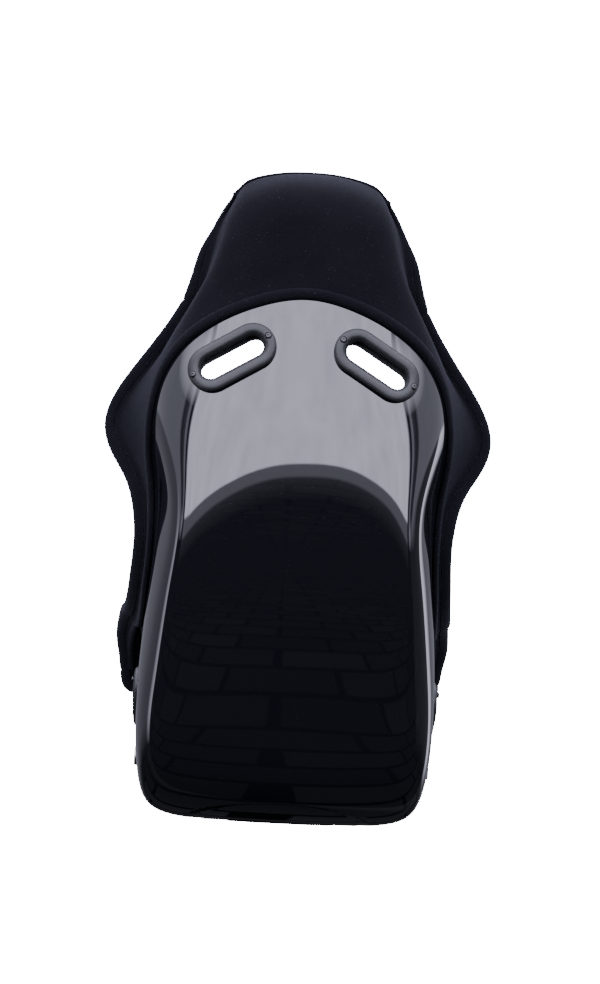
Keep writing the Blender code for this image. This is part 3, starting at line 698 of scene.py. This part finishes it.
def rim_loop():
    """Once round the rim from the left front corner: spots, way out and way in, corners rounded."""
    up = np.linspace(0.0, LAST, RIM_ROWS + 1)
    over = np.linspace(RIM, -RIM, END_ROWS + 1)[:-1]
    s = np.concatenate((np.full(RIM_ROWS, RIM), over, np.full(RIM_ROWS, -RIM), -over))
    v = np.concatenate((up[:-1], np.full(END_ROWS, LAST), up[:0:-1], np.zeros(END_ROWS)))
    count = len(s)
    index = np.arange(count)
    rows = np.hstack((form(s, v), facing(s, v)))
    soft = np.zeros_like(rows)
    reach = int(4 * CORNER_BLUR)
    steps = np.arange(-reach, reach + 1)
    weights = np.exp(-0.5 * (steps / CORNER_BLUR) ** 2)
    for step, weight in zip(steps, weights / weights.sum()):
        soft += weight * np.roll(rows, step, axis=0)
    near = np.zeros(count)
    for corner in (0, RIM_ROWS, RIM_ROWS + END_ROWS, 2 * RIM_ROWS + END_ROWS):
        gap = np.abs((index - corner + count // 2) % count - count // 2)
        near = np.maximum(near, 1 - smooth_step(0.7 * reach, 1.6 * reach, gap))
    rows = rows + (soft - rows) * near[:, None]
    spots, face = rows[:, :3], unit(rows[:, 3:])
    run = unit(np.roll(spots, -1, axis=0) - np.roll(spots, 1, axis=0))
    out = unit(np.cross(run, face))
    return spots - out * (CORNER_TUCK * near)[:, None], out, face


def rim_roll(name, node, loop, first, last):
    """A length of the padded roll round the rim, from one sample of the loop to another."""
    index = np.arange(first, last + 1) % (2 * (RIM_ROWS + END_ROWS))
    spots, out, face = (rows[index] for rows in loop)
    # 0 at the top of the head, 0.5 at its corners
    from_top = np.abs(index - RIM_ROWS - END_ROWS / 2) / END_ROWS
    slim = 1 - HEAD_SLIM * smooth_step(0.05, 0.45, from_top) * smooth_step(-0.9, -0.45, -from_top)
    out = out * slim[:, None]
    swell = HEAD_SWELL * np.exp(-((from_top - 0.42) / 0.10) ** 2)
    spots = spots - face * swell[:, None]
    section = []
    low, high = -COVER - ROLL_UNDERLAP, PAD_BASE + RIM_PAD
    middle, half = 0.5 * (low + high), 0.5 * (high - low)
    for turn in np.linspace(-1.0, 1.0, 25):
        angle = 0.5 * math.pi * turn
        reach = ROLL_GAP + ROLL_REACH * max(math.cos(angle), 0.0) ** 0.75
        section.append((reach, middle + half * math.sin(angle)))
    piece = tube(name, len(index) - 1, section, spots, out, face)
    sewn_piece(piece, "fabric_black", node)


def rim_rolls():
    """Four lengths of roll, sewn to each other beside the head and at the front corners."""
    loop = rim_loop()
    per_v = RIM_ROWS / LAST
    low, high = round(FRONT_JOIN * per_v), round(HEAD_JOIN * per_v)
    far = 2 * RIM_ROWS + END_ROWS
    rim_roll("rim_roll_left_cloth", "rim_roll_left", loop, low, high)
    rim_roll("rim_roll_head_cloth", "rim_roll_head", loop, high, far - high)
    rim_roll("rim_roll_right_cloth", "rim_roll_right", loop, far - high, far - low)
    rim_roll("rim_roll_front_cloth", "rim_roll_front", loop, far - low, far + END_ROWS + low)


BEZEL_STOPS = np.array((
    # share of the girth, out from the hole (in ring widths), rise over the skin (in crowns)
    (0.00, 1.00, 0.03), (0.06, 1.00, 0.30), (0.12, 0.97, 0.58), (0.19, 0.87, 0.82), (0.27, 0.70, 0.96),
    (0.35, 0.54, 1.00), (0.43, 0.38, 0.96), (0.50, 0.24, 0.82), (0.56, 0.13, 0.62), (0.60, 0.07, 0.42),
    (0.63, 0.05, 0.34), (0.65, 0.00, 0.30), (0.71, 0.00, 0.05),
))
BEZEL_CROWN = {"shoulder_slot": 0.0088, "lap_slot": 0.0062, "crotch_slot": 0.0088}
BEZEL_WALL = 0.003
THROAT_LIP = 0.0045         # how far the upper lip of a shoulder slot's inside ring hangs into the hole
SLEEVE_START, SLEEVE_OUT, SLEEVE_BACK = 0.72, 0.78, 0.85    # shares of the girth spent on the sleeve
SEAT_GAP = 0.0003           # under the ring's flat underside
SLEEVE_MORE = 0.0005        # how much deeper the sleeve of an inside ring reaches


def bezel(slot, node, tree, side):
    """A moulded ring round a slot, with a lip and a sleeve into the hole."""
    axes, half_length, half_width, passage = SLOTS[slot]
    crown = BEZEL_CROWN["_".join(slot.split("_")[:2])]
    bpy.ops.mesh.primitive_torus_add(major_segments=120, minor_segments=30, major_radius=1, minor_radius=0.4)
    piece = named(node + "_moulding")
    flat = places(piece)
    sleeve_end = -passage if side > 0 else -passage - SLEEVE_MORE
    for row in flat:
        turn = math.atan2(row[1], row[0]) / (2 * math.pi)
        share = (math.atan2(row[2], math.hypot(row[0], row[1]) - 1) / (2 * math.pi)) % 1.0
        grow = np.interp(share, BEZEL_STOPS[:, 0], BEZEL_STOPS[:, 1]) * RING_WIDTH
        rise = np.interp(share, BEZEL_STOPS[:, 0], BEZEL_STOPS[:, 2]) * crown
        if share > SLEEVE_OUT:
            grow = BEZEL_WALL
        if share > SLEEVE_BACK:
            rise = SEAT_GAP
        a, b = stadium(turn, half_length, half_width, grow)
        upper = (axes.to_3x3() @ Vector((0, b, 0))).z > 0
        if side < 0 and grow == 0.0 and upper and slot.startswith("shoulder"):
            b *= 1 - THROAT_LIP / half_width
        if SLEEVE_START < share <= SLEEVE_BACK:
            z = sleeve_end
        else:
            z = skin_hit(tree, axes, a, b, side) + side * rise
        row[:] = axes @ Vector((a, b, z))
    set_places(piece, flat)
    edit(outward)
    return piece


SCREW_SEAT = 0.0065         # from the shell's skin to the seat of a screw's head
SCREW_REACH = 0.55          # how far out the screws sit, in ring widths


def screw_seat(slot, x):
    """Where a bezel's screw sits: its axis out of the skin, Z up, at the seat of its head."""
    axes = SLOTS[slot][0]
    e = 0.003
    here, right, left, above, below = (
        skin_hit(OUTSIDE, axes, x + a, b, 1) for a, b in ((0, 0), (e, 0), (-e, 0), (0, e), (0, -e)))
    lean = Vector((left - right, below - above, 2 * e)).normalized()
    turn = axes.to_3x3().to_4x4() @ Vector((0, 0, 1)).rotation_difference(lean).to_matrix().to_4x4()
    base = axes @ Vector((x, 0.0, here))
    return Matrix.Translation(base + turn.to_3x3() @ Vector((0, 0, SCREW_SEAT))) @ turn


def solid_of(name, sides, radius, low, high):
    """A plain prism to cut with, standing on Z."""
    bpy.ops.mesh.primitive_cylinder_add(vertices=sides, radius=radius, depth=high - low,
                                        location=(0, 0, 0.5 * (low + high)))
    plug = named(name)
    bpy.ops.object.transform_apply()
    return plug


def pick_end(piece, way):
    """Pick only the faces at one end of a piece: way 1 the top, -1 the bottom."""
    for part in (piece.data.vertices, piece.data.edges, piece.data.polygons):
        part.foreach_set("select", [False] * len(part))
    for face in piece.data.polygons:
        face.select = face.normal.z * way > 0.9


def screw_blank():
    """A button-head screw with a hexagon socket, its head's seat at the origin."""
    head = solid_of("screw_blank", 48, 0.0041, 0.0, 0.0024)
    pick_end(head, 1)
    edit(inset(0.0008), inset(0.0006), picked=True)
    flat = places(head)
    radius = np.hypot(flat[:, 0], flat[:, 1])
    flat[:, 2] = np.where((flat[:, 2] > 0.001) & (radius > 0.0038), 0.0012, flat[:, 2])
    flat[:, 2] = np.where((flat[:, 2] > 0.0015) & (radius > 0.0030), 0.0021, flat[:, 2])
    set_places(head, flat)
    pick_end(head, -1)
    edit(inset(0.0017), lambda: thicken(-0.0128), picked=True)
    cut_away(head, solid_of("socket", 6, 0.0018, 0.0008, 0.01))
    apply_modifier(head, "BEVEL", width=0.00012, segments=2, limit_method="ANGLE")
    return smoothed(head, 35)


def copied(piece, name, place):
    """A copy with its own mesh, moved into place in its mesh."""
    twin = piece.copy()
    twin.data = piece.data.copy()
    twin.name = twin.data.name = name
    bpy.context.collection.objects.link(twin)
    twin.data.transform(place)
    return twin


def slot_trim():
    """Every bezel, with its screws where it has them."""
    blank = screw_blank()
    for slot, (axes, half_length, _, _) in SLOTS.items():
        outer_node, inner_node = slot + "_bezel_outer", slot + "_bezel_inner"
        outer = bezel(slot, outer_node, OUTSIDE, 1)
        inner = bezel(slot, inner_node, INSIDE, -1)
        kind, _, hand = slot.rpartition("_")
        ends = {"shoulder_slot": ("inner", "outer"), "lap_slot": ("front", "rear")}.get(kind, ())
        for end, side in zip(ends, (-1, 1)):
            node = kind.replace("slot", "screw") + "_" + end + "_" + hand
            seat = screw_seat(slot, side * (half_length + SCREW_REACH * RING_WIDTH))
            well = solid_of("well", 40, 0.0047, -0.0002, 0.02)
            well.data.transform(seat)
            cut_away(outer, well)
            seat_piece(copied(blank, node + "_head", seat), "steel_black", node)
        for made, node in ((outer, outer_node), (inner, inner_node)):
            seat_piece(smoothed(made, 32), "plastic_dark", node)
    bpy.data.objects.remove(blank, do_unlink=True)


BORE, BORE_LAND = 0.0042, 0.0052        # radius of an insert's bore and of the flat round it
THREAD_PITCH = 0.00125


def side_inserts():
    """Plated threaded inserts for the side mounts."""
    for node, sign, low, high in insert_places():
        radius = 0.5 * (high.z - low.z)
        length = high.x - low.x
        insert = solid_of(node + "_turned", 72, radius, -length, 0.0)
        for way in (1, -1):
            pick_end(insert, way)
            edit(inset(radius - BORE_LAND), picked=True)
        apply_modifier(insert, "BEVEL", width=0.0007, segments=3, limit_method="ANGLE")
        cut_away(insert, solid_of("bore", 48, BORE, -0.1, 0.1))
        for ridge in range(7):
            depth = 0.0015 + THREAD_PITCH * ridge
            bpy.ops.mesh.primitive_torus_add(major_segments=48, minor_segments=6, major_radius=BORE + 0.0001,
                                             minor_radius=0.00045, location=(0, 0, -depth))
            groove = named("thread")
            bpy.ops.object.transform_apply()
            cut_away(insert, groove)
        face_x = high.x if sign > 0 else low.x
        turn = Matrix.Rotation(sign * math.pi / 2, 4, "Y")
        place = Matrix.Translation((face_x, 0.5 * (low.y + high.y), 0.5 * (low.z + high.z)))
        insert.data.transform(place @ turn)
        seat_piece(smoothed(insert, 35), "steel_zinc", node)


# ---- pads
PADS = [("base_pad", (-3.0, 3.0), (0.03, 5.0), "fabric_black", ("crotch_slot",)),
        ("lumbar_pad", (-3.0, 3.0), (5.0, 8.0), "fabric_grey", ()),
        ("upper_back_pad", (-3.0, 3.0), (8.0, 11.28), "fabric_grey",
         ("shoulder_slot_left", "shoulder_slot_right")),
        ("head_pad", (-RIM, RIM), (11.28, LAST), "fabric_black", ())]
for hand, inside, outside in (("left", 3.0, RIM), ("right", -3.0, -RIM)):
    span = tuple(sorted((inside, outside)))
    PADS += [("thigh_pad_" + hand, span, (0.03, 6.0), "fabric_black", ("lap_slot_" + hand,)),
             ("waist_pad_" + hand, span, (6.0, 8.5), "fabric_black", ()),
             ("shoulder_pad_" + hand, span, (8.5, 11.28), "fabric_black", ("shoulder_slot_" + hand,))]
SEAM_GAP = 0.012            # half of the gap between patterns, in s and v
SEAM_WIDTH, SEAM_DEPTH = 0.011, 0.009   # the fall of a pad into its seams
RIM_WIDTH = 0.003                       # and into the rim roll


def from_edges(s, v, s_range, v_range):
    """Distance of pattern places to the nearest sewn edge and to the nearest rim edge, in metres."""
    spot = form(s, v)
    sewn, rimmed = [], []
    for side, edge in (("s", s_range[0]), ("s", s_range[1]), ("v", v_range[0]), ("v", v_range[1])):
        other = form(np.full_like(s, edge), v) if side == "s" else form(s, np.full_like(v, edge))
        gap = np.linalg.norm(spot - other, axis=-1)
        at_rim = abs(edge) >= RIM - 0.01 if side == "s" else edge >= LAST - 0.01 or edge < 0.1
        (rimmed if at_rim else sewn).append(gap)
    far = np.full_like(s, 1.0)
    return np.minimum.reduce([far] + sewn), np.minimum.reduce([far] + rimmed)


def pad(node, s_range, v_range, slot, holes):
    """A foam pad in sewn cloth: pulled down along its seams, full between them."""
    s_range = tuple(edge if abs(edge) >= RIM else edge - math.copysign(SEAM_GAP, edge) for edge in s_range)
    v_range = (v_range[0] + SEAM_GAP, v_range[1] - (SEAM_GAP if v_range[1] < LAST else 0.0))
    s_cells = max(round((s_range[1] - s_range[0]) / 0.1), 20)
    v_cells = max(round((v_range[1] - v_range[0]) / 0.05), 20)
    piece = pattern(node + "_upholstery", s_range, v_range, s_cells, v_cells)
    edit(thicken, outward)
    flat = places(piece)
    s, v = flat[:, 0], flat[:, 1]
    metres_uv(piece, flat)
    sewn, rimmed = from_edges(s, v, s_range, v_range)
    roll = 1 - np.sqrt(1 - (1 - np.clip(sewn / SEAM_WIDTH, 0, 1)) ** 2)
    lip = 1 - np.sqrt(1 - (1 - np.clip(rimmed / RIM_WIDTH, 0, 1)) ** 2)
    full = PAD_CROWN * smooth_step(0.0, 0.07, sewn) - PAD_SINK
    puckers = 0.0006 * np.sin(s * 41.0 + v * 9.0) * np.exp(-(sewn / 0.02) ** 2) * np.clip(sewn / 0.004, 0, 1)
    pulled = np.minimum(SEAM_DEPTH, 0.6 * foam(s, v)) * roll + PAD_SINK * lip
    top = PAD_BASE + foam(s, v) - pulled + full + puckers
    set_places(piece, laid(s, v, np.where(flat[:, 2] > 0.5, top, PAD_BASE)))
    edit(outward)
    plugs = [slot_plug("plug_pad", hole, SLEEVE_ROOM, -0.12, 0.05) for hole in holes]
    if node.startswith("thigh"):
        hand = node.rpartition("_")[2]
        plugs += [insert_plug("plug_pad", sign, low, high) for name, sign, low, high in insert_places()
                  if name.endswith(hand)]
    cut_away(piece, *plugs)
    sewn_piece(piece, slot, node, angle=50)


def tape_strips():
    """Touch tape between the base pad and the cushion: hooks on the seat, loops on the cushion."""
    for hand, columns in (("left", (0.9, 1.8)), ("right", (-1.8, -0.9))):
        for label, low, body in (("hook", 0.0005, "seat"), ("loop", 0.0022, "cushion")):
            node = label + "_strip_" + hand
            piece = pattern(node + "_tape", columns, (1.25, 3.75), 30, 90)
            edit(thicken, outward)
            flat = places(piece)
            s, v = flat[:, 0], flat[:, 1]
            bed = PAD_BASE + foam(s, v) + PAD_CROWN - PAD_SINK
            nap = 0.00012 * np.sin(s * 160.0) * np.sin(v * 190.0)
            set_places(piece, laid(s, v, bed + low + flat[:, 2] * (0.0012 + nap)))
            edit(outward)
            seat_piece(smoothed(piece, 40), "hook_tape", node, body)


# ---- cushion


MOST_SWELL = 0.006          # how far the cover may move as it swells
SWELL_FRAMES = 20


def cushion():
    """The lift-out cushion: a foam block blown up inside its cover, with sewn channels."""
    piece = pattern("seat_cushion_cover", (-CUSHION_SPAN + 0.05, CUSHION_SPAN - 0.05),
                    (CUSHION_ENDS[0] + 0.04, CUSHION_ENDS[1] - 0.04), 56, 90)
    edit(thicken, outward)
    flat = places(piece)
    s, v = flat[:, 0], flat[:, 1]
    ends = np.minimum(v - CUSHION_ENDS[0], CUSHION_ENDS[1] - v)
    fullness = smooth_step(-0.15, 0.9, ends) * smooth_step(-0.05, 0.9, CUSHION_SPAN - np.abs(s))
    seat_line = laid(s, v, PAD_BASE + foam(s, v) + 0.0085)
    depth = (CUSHION_DEPTH - CUSHION_TUCK) * (0.45 + 0.55 * fullness)
    rise = np.where(flat[:, 2] > 0.5, depth, 0.0)[:, None]
    set_places(piece, seat_line + np.array(LIFT) * rise)
    edit(outward)
    cut_away(piece, slot_plug("plug_cushion", "crotch_slot", RING_WIDTH + 0.007, -0.3, 0.1))
    apply_modifier(piece, "REMESH", mode="VOXEL", voxel_size=0.0055)
    start = places(piece)
    blow_up(piece)
    move = places(piece) - start
    size = np.linalg.norm(move, axis=1, keepdims=True)
    move *= np.minimum(1.0, MOST_SWELL / np.maximum(size, 1e-9))
    down = np.minimum(move @ np.array(LIFT), 0.0)[:, None]
    set_places(piece, start + move - down * np.array(LIFT) * 0.9)       # the base stays nearly flat
    apply_modifier(piece, "SUBSURF", levels=1, render_levels=1)
    quilt(piece)
    sewn_piece(piece, "fabric_grey", "seat_cushion", body="cushion")


def blow_up(piece):
    """Swell a closed cover with cloth under pressure."""
    step = piece.modifiers.new("cloth", "CLOTH")
    settings = step.settings
    settings.quality = 5
    settings.use_pressure = True
    settings.uniform_pressure_force = 4.0
    settings.effector_weights.gravity = 0.0
    step.collision_settings.use_collision = False
    scene = bpy.context.scene
    step.point_cache.frame_start = 1
    step.point_cache.frame_end = SWELL_FRAMES
    for moment in range(1, SWELL_FRAMES + 1):
        scene.frame_set(moment)
    only(piece)
    bpy.ops.object.modifier_apply(modifier=step.name)
    scene.frame_set(1)


CHANNEL_X, CHANNEL_Y = 0.062, -0.020    # where the sewn channels run
CHANNEL_WIDTH, CHANNEL_DEPTH = 0.0045, 0.0055


def quilt(piece):
    """Two long sewn channels and one across, pressed into the top of the cushion."""
    flat = places(piece)
    normal = np.empty(flat.size)
    piece.data.vertices.foreach_get("normal", normal)
    top = smooth_step(0.35, 0.75, normal.reshape(-1, 3) @ np.array(LIFT))
    groove = np.exp(-((np.abs(flat[:, 0]) - CHANNEL_X) / CHANNEL_WIDTH) ** 2)
    groove = np.maximum(groove, np.exp(-((flat[:, 1] - CHANNEL_Y) / CHANNEL_WIDTH) ** 2))
    flat -= np.array(LIFT) * (CHANNEL_DEPTH * groove * top)[:, None]
    set_places(piece, flat)


# ---- stage


WHITE_FLOOR, WHITE_WALL = 22.0, 24.0    # how bright the floor and the backdrop look
SKY, VERGE_NEAR, VERGE_FAR, FLANK = 3.5, 0.50, 0.14, 2.2        # brightness of what the gloss mirrors
OVERCAST = 1.5                          # light from above on matt things


def mirrored(start, way, x, y, z):
    """What the gloss mirrors: pale sky, a dark verge under its arch, a paved ground and bright flanks."""
    turn = start.maths("ARCTAN2", x, y)
    aside = start.maths("ABSOLUTE", turn) * (1 / math.pi)
    hill = start.maths("EXPONENT", ((turn + 0.10) * 2.0) ** 2.0 * -1.0)
    rise = z - (0.140 + hill * 0.170)
    streaks = way.stretched(14.0, 14.0, 1.2).noise(1.0, 3.0).ramp((0.3, 0.86), (0.7, 1.06))
    high = (z - 0.52).ramp((0.0, 0.0), (0.12, 1.0))
    ahead = aside.ramp((0.262, 1.0), (0.275, 0.0))
    sky = rise.ramp((0.0, 0.0), (0.008, 1.0)) * start.maths("MAXIMUM", ahead, high) * streaks
    near = (rise + 0.05).ramp((0.0, 0.0), (0.012, 1.0))
    far = (rise + 0.12).ramp((0.0, 0.0), (0.07, 1.0))
    verge = (near * VERGE_NEAR + far * VERGE_FAR) * ahead
    # on each hand one bright strip low down, with a dark upright and a dim cheek above
    left = turn.ramp((0.0, 0.0), (0.01, 1.0))
    strip_left = aside.ramp((0.36, 0.0), (0.375, 1.0), (0.41, 0.7), (0.45, 0.14), (0.85, 0.08))
    strip_right = aside.ramp((0.30, 0.0), (0.32, 0.03), (0.66, 0.05), (0.69, 1.0), (0.74, 0.7), (0.80, 0.08))
    low = (left * strip_left + (1 - left) * strip_right) * (z + 0.5).ramp((0.08, 0.02), (0.28, 1.0))
    cheek = aside.ramp((0.285, 0.0), (0.305, 1.0), (0.335, 0.35), (0.5, 0.30), (0.85, 0.20))
    raised = (z - 0.10).ramp((0.0, 0.0), (0.04, 1.0))
    upright = aside.ramp((0.29, 0.0), (0.31, 1.0), (0.34, 1.0), (0.36, 0.0))
    upright = upright * (z - 0.12).ramp((0.0, 0.0), (0.04, 1.0)) * (1 - high)
    flank = (raised * cheek + (1 - raised) * low) * (1 - upright * 0.9)
    ground = start.node("ShaderNodeCombineXYZ", None, 0, X=x / z, Y=y / z)
    paving = ground.node("ShaderNodeTexBrick", None, 0, Vector=ground, Scale=0.42,
                         i1=rgb(0.034, 0.034, 0.034), i2=rgb(0.016, 0.016, 0.016), i3=rgb(0.0, 0.0, 0.0))
    return sky * SKY + verge + flank * FLANK + paving


def surroundings():
    """The world: white to the camera, an outdoor scene to the gloss, an overcast sky to the rest."""
    world = bpy.data.worlds.new("studio")
    bpy.context.scene.world = world
    world.use_nodes = True
    tree = world.node_tree
    start = Flow(tree, None)
    way = start.node("ShaderNodeTexCoord", None, 0)
    parts = tree.nodes.new("ShaderNodeSeparateXYZ")
    tree.links.new(way.socket, parts.inputs[0])
    x, y, z = (Flow(tree, output) for output in parts.outputs)
    glow = mirrored(start, way, x, y, z)
    ray = tree.nodes.new("ShaderNodeLightPath")
    camera_ray = Flow(tree, ray.outputs["Is Camera Ray"])
    glossy_ray = Flow(tree, ray.outputs["Is Glossy Ray"])
    overcast = z.ramp((0.0, 0.25), (0.6, 1.0)) * OVERCAST
    unseen = glossy_ray * glow + (1 - glossy_ray) * overcast
    level = camera_ray * WHITE_WALL + (1 - camera_ray) * unseen
    background = tree.nodes["Background"]
    tree.links.new(level.socket, background.inputs["Strength"])
    background.inputs["Color"].default_value = rgb(0.91, 0.91, 1.10)


LIGHTS = (                              # name, place, size, power
    ("key", (1.6, 2.6, 2.6), 2.0, 60),
    ("fill", (-2.4, 1.6, 1.8), 2.4, 15),
    ("front", (0.6, -3.0, 2.4), 2.4, 60),
)
LIT_SPOT = Vector((0, 0, 0.45))


def studio():
    """Pale floor and soft light."""
    bpy.ops.mesh.primitive_plane_add(size=60, location=(0, 0, 0))
    floor = named("studio_floor")
    made, shader, spot = finish("studio_floor", Roughness=0.9, Specular_IOR_Level=0.0,
                                Emission_Strength=WHITE_FLOOR)
    feed(shader, spot.noise(3.0).mixed(rgb(0.80, 0.80, 0.80), rgb(0.82, 0.82, 0.82)), "Base Color")
    shader.inputs["Emission Color"].default_value = rgb(1, 1, 1)
    floor.data.materials.append(made)
    floor.visible_glossy = False
    floor.visible_diffuse = False
    surroundings()
    for name, place, size, power in LIGHTS:
        bpy.ops.object.light_add(type="AREA", location=place)
        light = bpy.context.active_object
        light.name = name
        light.data.size = size
        light.data.energy = power
        light.visible_glossy = False
        light.rotation_euler = (LIT_SPOT - Vector(place)).to_track_quat("-Z", "Y").to_euler()


VIEW_TARGET = Vector((0.0, 0.262, 0.447))
VIEW_DISTANCE = 2.209
VIEW_TURN, VIEW_RISE, VIEW_LEAN = math.radians(1.4), math.radians(-0.12), math.radians(3.1)
VIEW_HALF_HEIGHT = 0.28873              # tangent of half the angle of view
VIEW_SHIFT = (0.00173, 0.00386)


def camera():
    """A standing view of the back, nearly level, leaning a little."""
    level = math.cos(VIEW_RISE)
    back = Vector((math.sin(VIEW_TURN) * level, math.cos(VIEW_TURN) * level, math.sin(VIEW_RISE)))
    right = Vector((-math.cos(VIEW_TURN), math.sin(VIEW_TURN), 0))
    up = back.cross(right)
    x = right * math.cos(VIEW_LEAN) + up * math.sin(VIEW_LEAN)
    y = up * math.cos(VIEW_LEAN) - right * math.sin(VIEW_LEAN)
    bpy.ops.object.camera_add()
    made = bpy.context.active_object
    made.name = "view_from_behind"
    turned = Matrix((x, y, back)).transposed().to_4x4()
    made.matrix_world = Matrix.Translation(VIEW_TARGET + back * VIEW_DISTANCE) @ turned
    lens = made.data
    lens.sensor_fit = "VERTICAL"
    lens.angle = 2 * math.atan(VIEW_HALF_HEIGHT)
    lens.shift_x, lens.shift_y = VIEW_SHIFT
    bpy.context.scene.camera = made


# ---- build
for node_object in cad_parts.values():
    for slot_index, used in enumerate(node_object.material_slots):
        key = used.material.name.split(".")[0] if used.material else ""
        if key in FINISH:
            node_object.material_slots[slot_index].material = FINISH[key]
camera()
studio()
shell()
back_cover()
hem_band()
rim_rolls()
slot_trim()
side_inserts()
for row in PADS:
    pad(*row)
tape_strips()
cushion()
